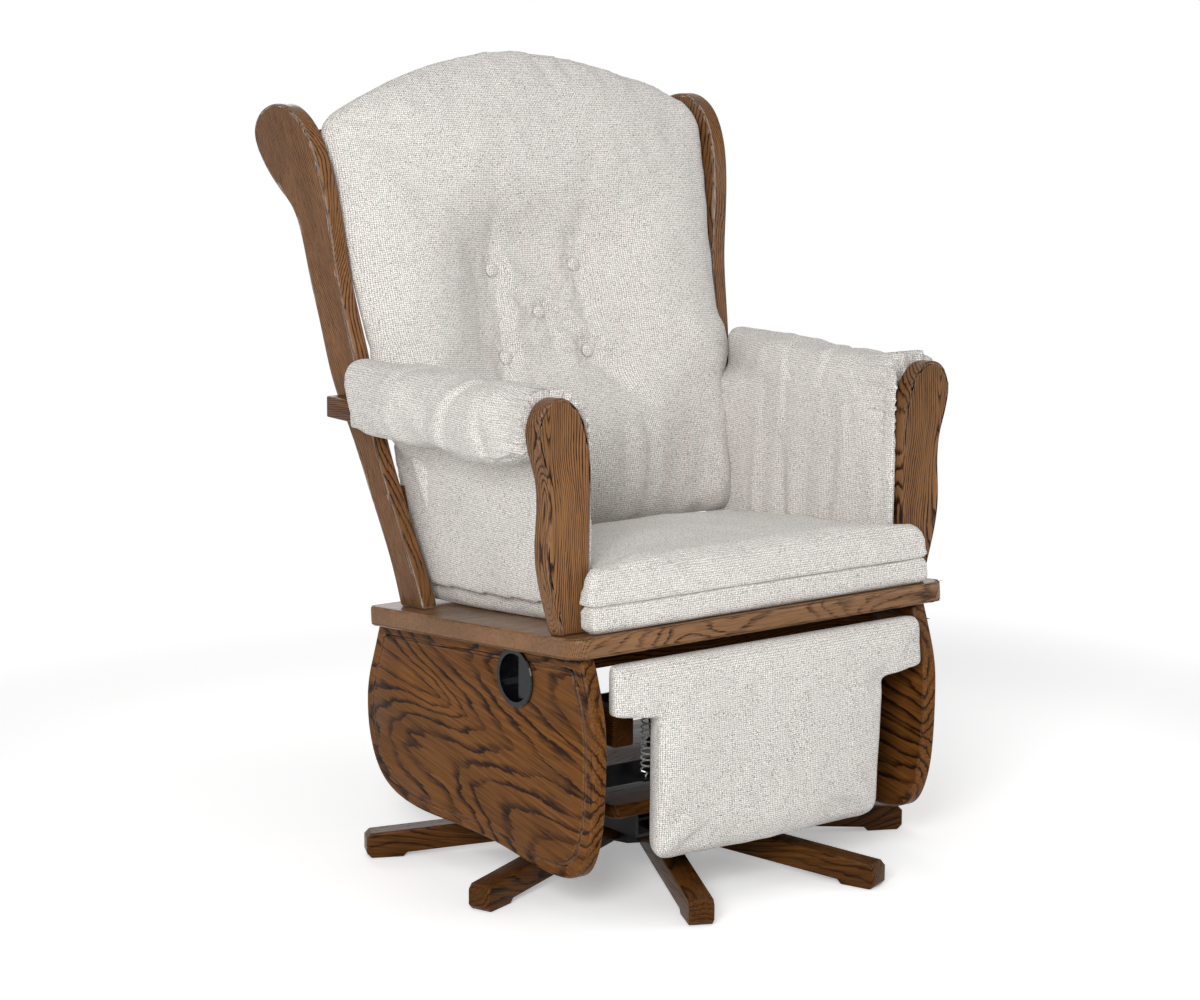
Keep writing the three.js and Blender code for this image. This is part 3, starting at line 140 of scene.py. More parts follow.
class Tree:
    """Short hand for building the nodes of a material, or of the world."""

    def __init__(self, name, world=None):
        self.material = world or bpy.data.materials.new(name)
        self.material.use_nodes = True
        self.tree = self.material.node_tree
        self.shader = self.tree.nodes["Background" if world else "Principled BSDF"]

    def feed(self, socket, value):
        if isinstance(value, bpy.types.NodeSocket):
            self.tree.links.new(value, socket)
        else:
            socket.default_value = value

    def node(self, kind, inputs, **settings):
        node = self.tree.nodes.new("ShaderNode" + kind)
        for key, value in settings.items():
            setattr(node, key, value)
        for key, value in inputs.items():
            self.feed(node.inputs[key], value)
        return node

    def math(self, operation, *values):
        return self.node("Math", dict(enumerate(values)), operation=operation).outputs[0]

    def vector(self, operation, *values, output=0):
        made = self.node("VectorMath", dict(enumerate(values)), operation=operation)
        return made.outputs[output]

    def dot(self, vector, axis):
        return self.vector("DOT_PRODUCT", vector, tuple(axis), output=1)

    def join(self, x, y, z):
        return self.node("CombineXYZ", {0: x, 1: y, 2: z}).outputs[0]

    def split(self, vector):
        return self.node("SeparateXYZ", {0: vector}).outputs

    def scaled(self, vector, scale):
        return self.vector("MULTIPLY", vector, tuple(scale))

    def noise(self, vector, scale, detail=2.0, rough=0.5):
        inputs = {"Vector": vector, "Scale": scale, "Detail": detail, "Roughness": rough}
        return self.node("TexNoise", inputs).outputs[0]

    def step(self, value, low, high, to_low=0.0, to_high=1.0):
        inputs = {0: value, 1: low, 2: high, 3: to_low, 4: to_high}
        return self.node("MapRange", inputs, interpolation_type="SMOOTHSTEP").outputs[0]

    def mix(self, share, a, b, blend="MIX"):
        node = self.node("Mix", {}, data_type="RGBA", blend_type=blend)
        for index, value in ((0, share), (6, a), (7, b)):
            self.feed(node.inputs[index], value)
        return node.outputs[2]

    def place(self):
        return self.node("TexCoord", {}).outputs["Object"]

    def seen(self):
        """1 for what the camera sees straight, by gloss or through glass, and 0 for light."""
        path = self.node("LightPath", {}).outputs
        found = self.math("MAXIMUM", path["Is Camera Ray"], path["Is Glossy Ray"])
        return self.math("MAXIMUM", found, path["Is Transmission Ray"])

    def bump(self, height, distance, strength=1.0, under=None):
        inputs = {"Height": height, "Distance": distance, "Strength": strength}
        if under is not None:
            inputs["Normal"] = under
        return self.node("Bump", inputs).outputs[0]

    def finish(self, links, **values):
        for key, value in links.items():
            self.feed(self.shader.inputs[key], value)
        for key, value in values.items():
            self.shader.inputs[key.replace("_", " ")].default_value = value
        return self.material


# Studio light: an even world and four lamps
WORLD_LEVEL = 0.38
WHITE = (1, 1, 1, 1)
LAMPS = (
    # name, place, aim, width and height, power
    ("key", (-2.9, -2.6, 1.9), (0, 0, 0.6), (1.3, 1.3), 104),
    ("overhead", (-0.3, -0.6, 3.2), (0, 0, 0.5), (2.2, 2.2), 9),
    ("side", (2.8, -2.6, 1.4), (0, 0, 0.6), (1.2, 1.8), 24),
    ("rear", (0.8, 3.2, 2.0), (0, 0, 0.7), (2.0, 1.6), 26),
)


def make_light():
    scene.world = bpy.data.worlds.new("studio")
    made = Tree("studio", scene.world)
    limits = {"Value": made.seen(), "To Min": WORLD_LEVEL, "To Max": 1}
    made.feed(made.shader.inputs["Color"], WHITE)
    made.feed(made.shader.inputs["Strength"], made.node("MapRange", limits).outputs[0])
    for lamp in LAMPS:
        area_light(*lamp)
    scene.view_settings.view_transform = "Standard"
    scene.view_settings.look = "None"


# Floor: pale under the chair, and white to the camera away from it
FLOOR_HALF = 20
FLOOR_NEAR = 0.9
FLOOR_FAR = 2.2
FLOOR_GLOW = 0.34
FLOOR_PALE = (0.93, 0.93, 0.93, 1)
BLACK = (0, 0, 0, 1)


def make_floor():
    mesh = bpy.data.meshes.new("floor")
    drawn = bmesh.new()
    corners = ((-1, -1), (1, -1), (1, 1), (-1, 1))
    drawn.faces.new([drawn.verts.new((FLOOR_HALF * x, FLOOR_HALF * y, 0)) for x, y in corners])
    drawn.to_mesh(mesh)
    drawn.free()
    floor = bpy.data.objects.new("floor", mesh)
    scene.collection.objects.link(floor)
    made = Tree("floor")
    far = made.step(made.vector("LENGTH", made.place(), output=1), FLOOR_NEAR, FLOOR_FAR)
    seen = made.seen()
    made.finish(
        {
            "Base Color": made.mix(made.math("MULTIPLY", far, seen), FLOOR_PALE, BLACK),
            "Emission Strength": made.math("MULTIPLY", seen, made.step(far, 0, 1, FLOOR_GLOW, 1)),
        },
        Roughness=1.0,
        Emission_Color=WHITE,
        Specular_IOR_Level=0.0,
    )
    mesh.materials.append(made.material)


# Steps, here and below: where a value starts to turn, where it has turned, and what both give
MIDDLE_STEP = (0.3, 0.7)
WIDE_STEP = (0.2, 0.8)

# Oak: rings round two pith lines that lean against the board, so flat faces show cathedrals.
# Noise scales are per metre, twice across the grain and then along it.
OAK_LIGHT = linear((122, 78, 34))
OAK_MID = linear((96, 57, 22))
OAK_DARK = linear((44, 22, 8))
OAK_PORE = linear((26, 13, 5))
# Painted sheen: a pale tan mixed over the wood, standing in for the satin coat's reflection
OAK_SHEEN_PAINT = linear((176, 142, 112))
# Painted highlight: a pale grey laid on eased edges, standing in for light glinting along them
OAK_EDGE_HIGHLIGHT = linear((214, 206, 198))
SWIRL_SCALE = (9, 9, 4.5)
JAG_SCALE = (80, 80, 18)
FINE_SCALE = (500, 500, 36)
STREAK_SCALE = (620, 620, 17)
FIBRE_SCALE = (300, 300, 8)
PATCH_SCALE = (9, 9, 3)
STRENGTH_SCALE = (26, 26, 7)
SWIRL_REACH = 4
JAG_REACH = 1.05
FINE_REACH = 1.1 * MM
BAND_START = (0.0, 0.08)
BAND_END = (0.10, 0.52, 1.0, 0.0)
BAND_STEP = (0.32, 0.62)
BAND_LEAST = 0.45
BAND_MOST = 1.35
PORE_STEP = (0.50, 0.60)
PORE_DARK = 0.8
PATCH_TONE = (*MIDDLE_STEP, 0.86, 1.12)
PATCH_ROUGH = (*WIDE_STEP, 0.30, 0.42)
EDGE_RADIUS = 4 * MM
EDGE_STEP = (0.90, 0.995, 1.0, 0.0)
# Painted highlight: the share by which eased edges are lightened, standing in for light catching
# them
EDGE_HIGHLIGHT_GAIN = 0.35
OAK_RELIEF = 0.22 * MM


def oak(
    name,
    grain,
    face,
    ring=3.4 * MM,
    lean=0.05,
    pith=(0.0, 0.06),
    spread=0.0,
    wander=0.012,
    band_dark=0.8,
    tone=1.0,
    gloss=0.22,
    veil=0.0,
    worn=0.0,
):
    """Oak for one board. Its grain and face are directions, and spread parts the two piths. The
    sheen share mixes a painted sheen, a pale tan, over the wood. The edge highlight share lays a
    painted highlight, a pale grey, on its eased edges. The brightness factor scales the whole
    board's colour: painted shade on the boards under the seat, painted light on the posts and
    deck."""
    grain = Vector(grain).normalized()
    face = (Vector(face) - grain * grain.dot(face)).normalized()
    across = face.cross(grain)
    made = Tree(name)
    place = made.place()
    u = made.math("SUBTRACT", made.dot(place, across), pith[0])
    if spread:
        u = made.math("SUBTRACT", made.math("ABSOLUTE", u), spread)
    g = made.dot(place, grain)
    d = made.math("ADD", made.dot(place, face), made.math("MULTIPLY_ADD", g, lean, pith[1]))
    wood = made.join(u, made.dot(place, face), g)

    def grained(scale, detail=2.0, rough=0.6):
        return made.noise(made.scaled(wood, scale), 1.0, detail, rough)

    radius = made.math(
        "SQRT", made.math("ADD", made.math("MULTIPLY", u, u), made.math("MULTIPLY", d, d))
    )
    swirl = grained(SWIRL_SCALE, 1.5, 0.45)
    radius = made.math("MULTIPLY_ADD", swirl, wander * SWIRL_REACH, radius)
    radius = made.math("MULTIPLY_ADD", grained(JAG_SCALE, 3.0), ring * JAG_REACH, radius)
    radius = made.math("MULTIPLY_ADD", grained(FINE_SCALE), FINE_REACH, radius)
    part = made.math("FRACT", made.math("DIVIDE", radius, ring))
    band = made.math("MULTIPLY", made.step(part, *BAND_START), made.step(part, *BAND_END))
    pores = made.math(
        "MULTIPLY",
        made.step(grained(STREAK_SCALE), *PORE_STEP),
        made.math("MULTIPLY_ADD", band, 0.75, 0.25),
    )
    patch = grained(PATCH_SCALE, rough=0.5)
    strength = grained(STRENGTH_SCALE, 1.0, 0.5)
    strong = made.step(strength, *BAND_STEP, band_dark * BAND_LEAST, band_dark * BAND_MOST)
    colour = made.mix(made.step(grained(FIBRE_SCALE), *MIDDLE_STEP), OAK_MID, OAK_LIGHT)
    # Painted sheen: the pale tan is mixed over the wood in place of the coat's reflection
    if veil:
        colour = made.mix(veil, colour, OAK_SHEEN_PAINT)
    colour = made.mix(made.math("MULTIPLY", band, strong), colour, OAK_DARK)
    colour = made.mix(made.math("MULTIPLY", pores, PORE_DARK), colour, OAK_PORE)
    # The bevel mask finds the eased edges, which are then lightened as a painted highlight
    soft = made.node("Bevel", {"Radius": EDGE_RADIUS}, samples=4).outputs[0]
    flat = made.node("NewGeometry", {}).outputs["Normal"]
    edge = made.step(made.vector("DOT_PRODUCT", soft, flat, output=1), *EDGE_STEP)
    # Random patches of lighter and darker wood, times the board's brightness factor, which is
    # painted shade or painted light over the whole board
    shade = made.math("MULTIPLY", made.step(patch, *PATCH_TONE), tone)
    shade = made.math("MULTIPLY", shade, made.math("MULTIPLY_ADD", edge, EDGE_HIGHLIGHT_GAIN, 1.0))
    colour = made.vector("MULTIPLY", colour, made.join(shade, shade, shade))
    # Painted highlight: the eased edges are mixed toward pale grey
    if worn:
        colour = made.mix(made.math("MULTIPLY", edge, worn), colour, OAK_EDGE_HIGHLIGHT)
    rough = made.math("MULTIPLY_ADD", pores, 0.25, made.step(patch, *PATCH_ROUGH))
    sunk = made.math("MULTIPLY_ADD", band, -0.35, made.math("MULTIPLY", pores, -1))
    return made.finish(
        {"Base Color": colour, "Roughness": rough, "Normal": made.bump(sunk, OAK_RELIEF, 0.7)},
        Specular_IOR_Level=0.06,
        Coat_Weight=gloss,
        Coat_Roughness=0.12,
        Coat_IOR=1.22,
    )


# Fabric: over and under threads laid in the plane that the surface faces, with a heathered yarn.
# Scales are per metre.
CLOTH_BASE = linear((235, 230, 225))
CLOTH_PALE = linear((250, 248, 244))
CLOTH_GREY = linear((210, 206, 200))
CLOTH_DARK = linear((70, 68, 65))
THREAD = 2.9 * MM
WAVE_SCALE = 30.0
WAVE_REACH = 3 * MM
OVER_STEP = (-0.2, 0.2)
YARN_ACROSS = 950
YARN_ALONG = 420
SLUB_ACROSS = 700
SLUB_ALONG = 14
FLECK_SCALE = (900, 900, 900)
CLOUD_SCALE = 11.0
BASE_STEP = (0.36, 0.55)
PALE_STEP = (0.55, 0.70)
FLECK_STEP = (0.55, 0.65, 0.0, 0.85)
SLUB_STEP = (0.60, 0.72, 0.0, 0.25)
THREAD_SHADE = (0.0, 0.75, 0.26, 1.18)
CLOUD_SHADE = (*MIDDLE_STEP, 0.98, 1.02)
CLOTH_RELIEF = 0.45 * MM


def cloth(name, up=(0, 0, 1)):
    """Woven cloth whose threads run along up and across it."""
    up = Vector(up).normalized()
    side = Vector((1, 0, 0))
    out = side.cross(up)
    made = Tree(name)
    place = made.place()
    x, y, z = made.dot(place, side), made.dot(place, out), made.dot(place, up)
    normal = made.node("TexCoord", {}).outputs["Normal"]
    nx, ny, nz = (
        made.math("ABSOLUTE", made.dot(normal, axis)) for axis in (side, out, up)
    )
    facing_x = made.math("GREATER_THAN", nx, made.math("MAXIMUM", ny, nz))
    facing_up = made.math("GREATER_THAN", nz, made.math("MAXIMUM", nx, ny))

    def either(share, a, b):
        return made.node("Mix", {0: share, 2: a, 3: b}).outputs[0]

    wave = made.noise(place, WAVE_SCALE, 2.0)
    u = made.math("MULTIPLY_ADD", wave, WAVE_REACH, either(facing_x, x, y))
    v = made.math("MULTIPLY_ADD", wave, -WAVE_REACH, either(facing_up, z, y))
    sine_u = made.math("SINE", made.math("MULTIPLY", u, math.pi / THREAD))
    sine_v = made.math("SINE", made.math("MULTIPLY", v, math.pi / THREAD))
    over = made.step(made.math("MULTIPLY", sine_u, sine_v), *OVER_STEP)
    height = either(over, made.math("ABSOLUTE", sine_u), made.math("ABSOLUTE", sine_v))

    def yarn_noise(across, along, third):
        cells = made.join(made.math("MULTIPLY", u, across), made.math("MULTIPLY", v, along), third)
        return made.noise(cells, 1.0, 2.0, 0.6)

    yarn = either(
        over, yarn_noise(YARN_ACROSS, YARN_ALONG, y), yarn_noise(YARN_ALONG, YARN_ACROSS, z)
    )
    fleck = made.noise(made.scaled(place, FLECK_SCALE), 1.0, 1.0, 0.6)
    slub = yarn_noise(SLUB_ACROSS, SLUB_ALONG, x)
    colour = made.mix(made.step(yarn, *BASE_STEP), CLOTH_GREY, CLOTH_BASE)
    colour = made.mix(made.step(yarn, *PALE_STEP), colour, CLOTH_PALE)
    colour = made.mix(made.step(fleck, *FLECK_STEP), colour, CLOTH_DARK)
    colour = made.mix(made.step(slub, *SLUB_STEP), colour, CLOTH_GREY)
    cloud = made.step(made.noise(place, CLOUD_SCALE, 3.0, 0.55), *CLOUD_SHADE)
    shade = made.math("MULTIPLY", made.step(height, *THREAD_SHADE), cloud)
    colour = made.vector("MULTIPLY", colour, made.join(shade, shade, shade))
    relief = made.math("MULTIPLY_ADD", fleck, 0.4, height)
    return made.finish(
        {"Base Color": colour, "Normal": made.bump(relief, CLOTH_RELIEF, 0.6)},
        Roughness=0.95,
        Specular_IOR_Level=0.1,
        Sheen_Weight=0.1,
        Sheen_Roughness=0.5,
    )


# Metal and plastic: two tones in patches, and a fine relief
STEEL_TONES = (linear((16, 16, 17)), linear((30, 30, 31)))
STEEL_DUST = linear((66, 64, 61))
DUST_STEP = (0.62, 0.78, 0.0, 0.35)
ZINC_TONES = (linear((190, 188, 183)), linear((232, 231, 227)))
PLASTIC_TONES = (linear((6, 7, 9)), linear((14, 15, 19)))


def black_steel():
    made = Tree("black_steel")
    place = made.place()
    patch = made.noise(place, 30.0, 3.0)
    dust = made.noise(place, 160.0, 4.0, 0.7)
    colour = made.mix(made.step(patch, *MIDDLE_STEP), *STEEL_TONES)
    colour = made.mix(made.step(dust, *DUST_STEP), colour, STEEL_DUST)
    return made.finish(
        {
            "Base Color": colour,
            "Roughness": made.step(patch, *WIDE_STEP, 0.36, 0.52),
            "Normal": made.bump(made.noise(place, 900.0, 3.0, 0.6), 0.08 * MM, 0.5),
        },
        Specular_IOR_Level=0.35,
    )


def zinc():
    made = Tree("zinc")
    place = made.place()
    draw = made.noise(made.scaled(place, (1200, 1200, 90)), 1.0, 2.0)
    patch = made.noise(place, 120.0, 3.0)
    return made.finish(
        {
            "Base Color": made.mix(made.step(patch, *MIDDLE_STEP), *ZINC_TONES),
            "Roughness": made.step(draw, *WIDE_STEP, 0.2, 0.36),
            "Normal": made.bump(draw, 0.04 * MM, 0.4),
        },
        Metallic=0.55,
    )


def black_plastic():
    made = Tree("black_plastic")
    place = made.place()
    patch = made.noise(place, 70.0, 3.0)
    return made.finish(
        {
            "Base Color": made.mix(made.step(patch, *MIDDLE_STEP), *PLASTIC_TONES),
            "Roughness": made.step(patch, *WIDE_STEP, 0.16, 0.3),
            "Normal": made.bump(made.noise(place, 1400.0, 2.0), 0.03 * MM, 0.5),
        },
        Specular_IOR_Level=0.3,
    )


# Mesh helpers
WELD = 0.02 * MM


def copy_of(node, name):
    """A new object with the node's own surface, its split corners welded."""
    drawn = bmesh.new()
    drawn.from_mesh(frame["nodes"][node].data)
    bmesh.ops.remove_doubles(drawn, verts=drawn.verts, dist=WELD)
    mesh = bpy.data.meshes.new(name)
    drawn.to_mesh(mesh)
    drawn.free()
    piece = bpy.data.objects.new(name, mesh)
    scene.collection.objects.link(piece)
    return piece


def settle(piece):
    """Puts what the piece's modifiers make into its mesh."""
    shown = piece.evaluated_get(bpy.context.evaluated_depsgraph_get())
    mesh = bpy.data.meshes.new_from_object(shown)
    piece.modifiers.clear()
    old = piece.data
    piece.data = mesh
    bpy.data.meshes.remove(old)


def modify(piece, kind, **settings):
    modifier = piece.modifiers.new(kind.lower(), kind)
    for key, value in settings.items():
        setattr(modifier, key, value)
    return modifier


def coords(mesh, what="co"):
    found = np.empty(len(mesh.vertices) * 3)
    mesh.vertices.foreach_get(what, found)
    return found.reshape(-1, 3)


def move_to(mesh, places):
    mesh.vertices.foreach_set("co", places.ravel())
    mesh.update()


def smooth_step(value, low, high):
    share = np.clip((value - low) / (high - low), 0, 1)
    return share * share * (3 - 2 * share)


def before(value, pair):
    """The share that is whole up to the first of the pair and gone at the second."""
    return 1 - smooth_step(value, *pair)


def bell(value, spread):
    return np.exp(-((value / spread) ** 2) / 2)


def ripple(places, pitch, seed, waves=9):
    """A smooth random height of about 1, from crossing waves."""
    chance = np.random.default_rng(seed)
    total = np.zeros(len(places))
    for _ in range(waves):
        way = chance.normal(size=3)
        way /= np.linalg.norm(way)
        length = pitch * chance.uniform(0.7, 1.6)
        total += np.sin(2 * np.pi * (places @ way) / length + chance.uniform(0, 2 * np.pi))
    return total / math.sqrt(waves / 2)


def ripples(places, waves, seed):
    """Broad waves and fine ones, each given as its height and its pitch."""
    (broad, broad_pitch), (fine, fine_pitch) = waves
    return broad * ripple(places, broad_pitch, seed) + fine * ripple(places, fine_pitch, seed + 1)


def shade_smooth(mesh):
    mesh.polygons.foreach_set("use_smooth", np.ones(len(mesh.polygons), bool))
    mesh.update()


# Soft pieces
VOXEL = 5.5 * MM
FINE_VOXEL = 5.0 * MM
SIM_FRAMES = 20
RIDGE_FAR = 2.1
RIDGE_SPREAD = 1.2
PRESSURE = 4
STRETCH_STIFFNESS = 12
BEND_STIFFNESS = 0.4
HELD_BELOW = 0.15


def merge(target, other):
    """Adds the other object's surface to the target and removes the other."""
    drawn = bmesh.new()
    drawn.from_mesh(target.data)
    drawn.from_mesh(other.data)
    drawn.to_mesh(target.data)
    drawn.free()
    bpy.data.objects.remove(other)


def remeshed(node, name, voxel=VOXEL, rounds=4, fill=None):
    """One even skin round a node, and round what fill adds to it before."""
    piece = copy_of(node, name)
    if fill:
        merge(piece, fill())
    modify(piece, "REMESH", mode="VOXEL", voxel_size=voxel, use_smooth_shade=True)
    settle(piece)
    modify(piece, "SMOOTH", factor=0.5, iterations=rounds)
    settle(piece)
    return piece


def stuff(pieces):
    """Swells remeshed pieces under pressure. Each entry is a piece, how far a point may move and
    how free each point is, from 0 for a point that rests on something to 1."""
    starts = []
    for piece, _, free in pieces:
        starts.append(coords(piece.data))
        group = piece.vertex_groups.new(name="held")
        for index in np.nonzero(free < HELD_BELOW)[0]:
            group.add([int(index)], 1.0, "REPLACE")
        wanted = modify(piece, "CLOTH")
        wanted.settings.use_pressure = True
        wanted.settings.uniform_pressure_force = PRESSURE
        wanted.settings.effector_weights.gravity = 0
        wanted.settings.vertex_group_mass = "held"
        wanted.settings.quality = 4
        wanted.settings.tension_stiffness = STRETCH_STIFFNESS
        wanted.settings.compression_stiffness = STRETCH_STIFFNESS
        wanted.settings.bending_stiffness = BEND_STIFFNESS
        wanted.collision_settings.use_collision = False
        wanted.point_cache.frame_end = SIM_FRAMES
    for number in range(1, SIM_FRAMES + 1):
        scene.frame_set(number)
    for (piece, cap, free), start in zip(pieces, starts):
        shown = piece.evaluated_get(bpy.context.evaluated_depsgraph_get())
        moved = coords(shown.to_mesh()) - start
        shown.to_mesh_clear()
        piece.modifiers.clear()
        piece.vertex_groups.clear()
        far = np.linalg.norm(moved, axis=1, keepdims=True)
        held = cap * np.tanh(far / cap) / np.maximum(far, 1e-9)
        move_to(piece.data, start + moved * held * free[:, None])
    scene.frame_set(1)


def refine(piece, levels=1):
    modify(piece, "SUBSURF", levels=levels, render_levels=levels)
    settle(piece)


def press(piece, height):
    """Moves each point along its normal by height, an array in metres."""
    mesh = piece.data
    move_to(mesh, coords(mesh) + coords(mesh, "normal") * height[:, None])


def line_share(points, a, b):
    """Distance to the segment from a to b and how far along it, for points in a plane."""
    a, b = np.array(a, float), np.array(b, float)
    along = np.clip(((points - a) @ (b - a)) / ((b - a) @ (b - a)), 0, 1)
    nearest = a + along[:, None] * (b - a)
    off = points - nearest
    side = (b - a)[0] * off[:, 1] - (b - a)[1] * off[:, 0]
    return np.linalg.norm(off, axis=1), along, np.sign(side)


def crease(points, path, depth, width, ridge=0.0, fade=(0.0, 0.0)):
    """A drawn-in line along a path, deepest in the middle, with a swelling on its left side."""
    count = len(path) - 1
    best = np.full(len(points), np.inf)
    share = np.zeros(len(points))
    left = np.zeros(len(points))
    for i in range(count):
        far, along, side = line_share(points, path[i], path[i + 1])
        closer = far < best
        best = np.where(closer, far, best)
        share = np.where(closer, (i + along) / count, share)
        left = np.where(closer, side, left)
    strength = np.ones(len(points))
    if fade[0]:
        strength *= smooth_step(share, 0, fade[0])
    if fade[1]:
        strength *= 1 - smooth_step(share, 1 - fade[1], 1)
    total = -(depth * bell(best, width) * strength)
    if ridge:
        bulge = bell(best - RIDGE_FAR * width, RIDGE_SPREAD * width)
        total += ridge * bulge * strength * (0.6 + 0.4 * left)
    return total


def creases_of(plane, creases):
    """The height of each crease of a table, whose depths and ridges are in mm."""
    for path, depth, width, ridge, fade in creases:
        yield crease(plane, path, depth * MM, width, ridge * MM, fade)


def surface(piece):
    """A search tree of a piece's faces."""
    drawn = bmesh.new()
    drawn.from_mesh(piece.data)
    tree = BVHTree.FromBMesh(drawn)
    drawn.free()
    return tree


def dress(piece, material, body):
    piece.data.materials.clear()
    piece.data.materials.append(material)
    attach(piece, body)
    return piece


# Back cushion: places in its own plane are (x, height up the rake), in mm
BUTTONS = ((-73, 375), (73, 375), (0, 309), (-74, 246), (74, 246))
TOP_LEFT, TOP_RIGHT, CENTRE, LOW_LEFT, LOW_RIGHT = BUTTONS
BUTTON_RADIUS = 10.5 * MM
BUTTON_OUT = -0.019
BUTTON_DIP = 6 * MM
BUTTON_RISE = 9.5 * MM
BUTTON_DROP = 5.2 * MM
BUTTON_TURN = 0.62 * math.pi
BUTTON_RINGS = 7
BUTTON_SIDES = 28
BACK_DROP = 17 * MM
BACK_ROLL = 16 * MM
DISH_SPREAD = 58
DIP_SPREAD = 15
TUFT_LINES = ((0, 1), (0, 2), (1, 2), (2, 3), (2, 4), (0, 3), (1, 4), (3, 4))
# How much wider and squarer it gets: (height up the rake, mm)
BACK_WIDEN = ((-40, 8), (20, 16), (60, 22), (130, 32), (195, 38), (215, 34), (235, 22))
BACK_WIDEN += ((255, 8), (275, 0))
BACK_SQUARE = ((-20, 0), (30, 12), (90, 16), (200, 16), (250, 8), (290, 0))
BACK_CREASES = (
    # path, depth, width, ridge, fade at the ends
    ((TOP_LEFT, (-52, 350), (-30, 326), CENTRE), 6.0, 7.5, 4.5, (0, 0)),
    ((CENTRE, (30, 298), (56, 272), LOW_RIGHT), 6.0, 7.5, 4.5, (0, 0)),
    ((TOP_LEFT, (-70, 312), LOW_LEFT), 5.5, 10.0, 3.0, (0, 0)),
    ((TOP_RIGHT, (84, 310), LOW_RIGHT), 6.0, 11.0, 3.5, (0, 0)),
    ((TOP_LEFT, (-75, 440), (-82, 530)), 5.5, 11.0, 2.0, (0, 0.8)),
    ((TOP_RIGHT, (84, 440), (104, 570)), 7.5, 15.0, 3.0, (0, 0.75)),
    ((CENTRE, (16, 262), (28, 200)), 5.0, 10.0, 2.5, (0, 0.7)),
    ((CENTRE, (4, 352), (0, 410)), 3.0, 14.0, 0, (0, 0.8)),
    ((LOW_RIGHT, (104, 196), (134, 120)), 6.5, 11.0, 4.0, (0, 0.6)),
    ((LOW_RIGHT, (122, 210), (200, 160)), 4.0, 12.0, 3.0, (0, 0.7)),
    ((LOW_LEFT, (-96, 190), (-110, 120)), 5.5, 12.0, 3.0, (0, 0.7)),
    (((70, 170), (66, 100), (52, 20)), 2.6, 10.0, 1.8, (0.4, 0.3)),
    (((112, 170), (108, 100), (92, 15)), 2.2, 9.0, 1.8, (0.4, 0.3)),
    (((-130, 150), (-140, 90), (-136, 15)), 2.4, 11.0, 1.6, (0.4, 0.3)),
    (((10, 150), (4, 90), (-4, 20)), 2.0, 12.0, 1.4, (0.4, 0.3)),
)
BACK_WAVES = ((1.4 * MM, 0.12), (0.5 * MM, 0.045))
BACK_SEED = 3
# Where the pressure is free, in the cushion's plane
FREE_HALF = 250
FREE_WIDER = 60
FREE_WIDENS = (230, 300)
FREE_RISE = (-10, 30)
BUTTON_HOLD = (8, 46)
# Where the sides are squared, from the middle out and from the back forward
WIDE_SIDE = (120, 235)
WIDE_DEPTH = (-0.13, -0.07)
SQUARE_SIDE = (175, 240)
SQUARE_DEPTH = (-0.09, -0.04)
# The small folds round each button, and those above the seat
BUTTON_CALM = (10, 32)
PUCKER_COUNT = 9
PUCKER_FAR = 24
PUCKER_SPREAD = 9
PUCKER_HEIGHT = 0.8 * MM
LOW_SPREAD = 70
LOW_PITCH = 52
LOW_HEIGHT = 0.9 * MM
# The lower edge that rolls forward
ROLL_RISE = (8, 95)
ROLL_HALF = (275, 300)
ROLL_DEPTH = (-0.05, 0.01)


def back_plane(places):
    """(x, height up the rake) in mm, and how far in front of the back line in metres."""
    from_line = places - BACK_LINE
    plane = np.stack((from_line[:, 0], from_line @ BACK_UP), axis=1) / MM
    return plane, from_line @ BACK_OUT


def button_distances(plane):
    for x, up in BUTTONS:
        yield np.hypot(plane[:, 0] - x, plane[:, 1] - up), x, up


def back_start():
    piece = remeshed("back_cushion", "back_cushion_cover")
    plane, _ = back_plane(coords(piece.data))
    front = smooth_step(coords(piece.data, "normal") @ BACK_OUT, -0.2, 0.5)
    limit = FREE_HALF + FREE_WIDER * smooth_step(plane[:, 1], *FREE_WIDENS)
    side = 1 - smooth_step(np.abs(plane[:, 0]), limit - 30, limit + 22)
    free = front * side * smooth_step(plane[:, 1], *FREE_RISE)
    for far, _, _ in button_distances(plane):
        free *= 0.1 + 0.9 * smooth_step(far, *BUTTON_HOLD)
    return piece, free


def tufted(places, plane, out, front):
    """The buttons draw a dished centre in, and sit in short dips of their own."""
    near = np.full(len(places), np.inf)
    for a, b in TUFT_LINES:
        near = np.minimum(near, line_share(plane, BUTTONS[a], BUTTONS[b])[0])
    sink = np.maximum(out - (BUTTON_OUT + BUTTON_DIP), 0) * bell(near, DISH_SPREAD)
    for far, _, _ in button_distances(plane):
        sink += BUTTON_DIP * bell(far, DIP_SPREAD)
    return places - BACK_OUT * (sink * front)[:, None]


def square_off(places, plane, out):
    """Between the arms the sides are pressed square against the arm panels."""
    half = np.abs(plane[:, 0])
    wide = np.interp(plane[:, 1], *zip(*BACK_WIDEN)) * MM
    beside = smooth_step(half, *WIDE_SIDE) * smooth_step(out, *WIDE_DEPTH)
    places[:, 0] += np.sign(plane[:, 0]) * wide * beside
    square = np.interp(plane[:, 1], *zip(*BACK_SQUARE)) * MM
    corner = smooth_step(half, *SQUARE_SIDE) * smooth_step(out, *SQUARE_DEPTH)
    places += BACK_OUT * (square * corner)[:, None]


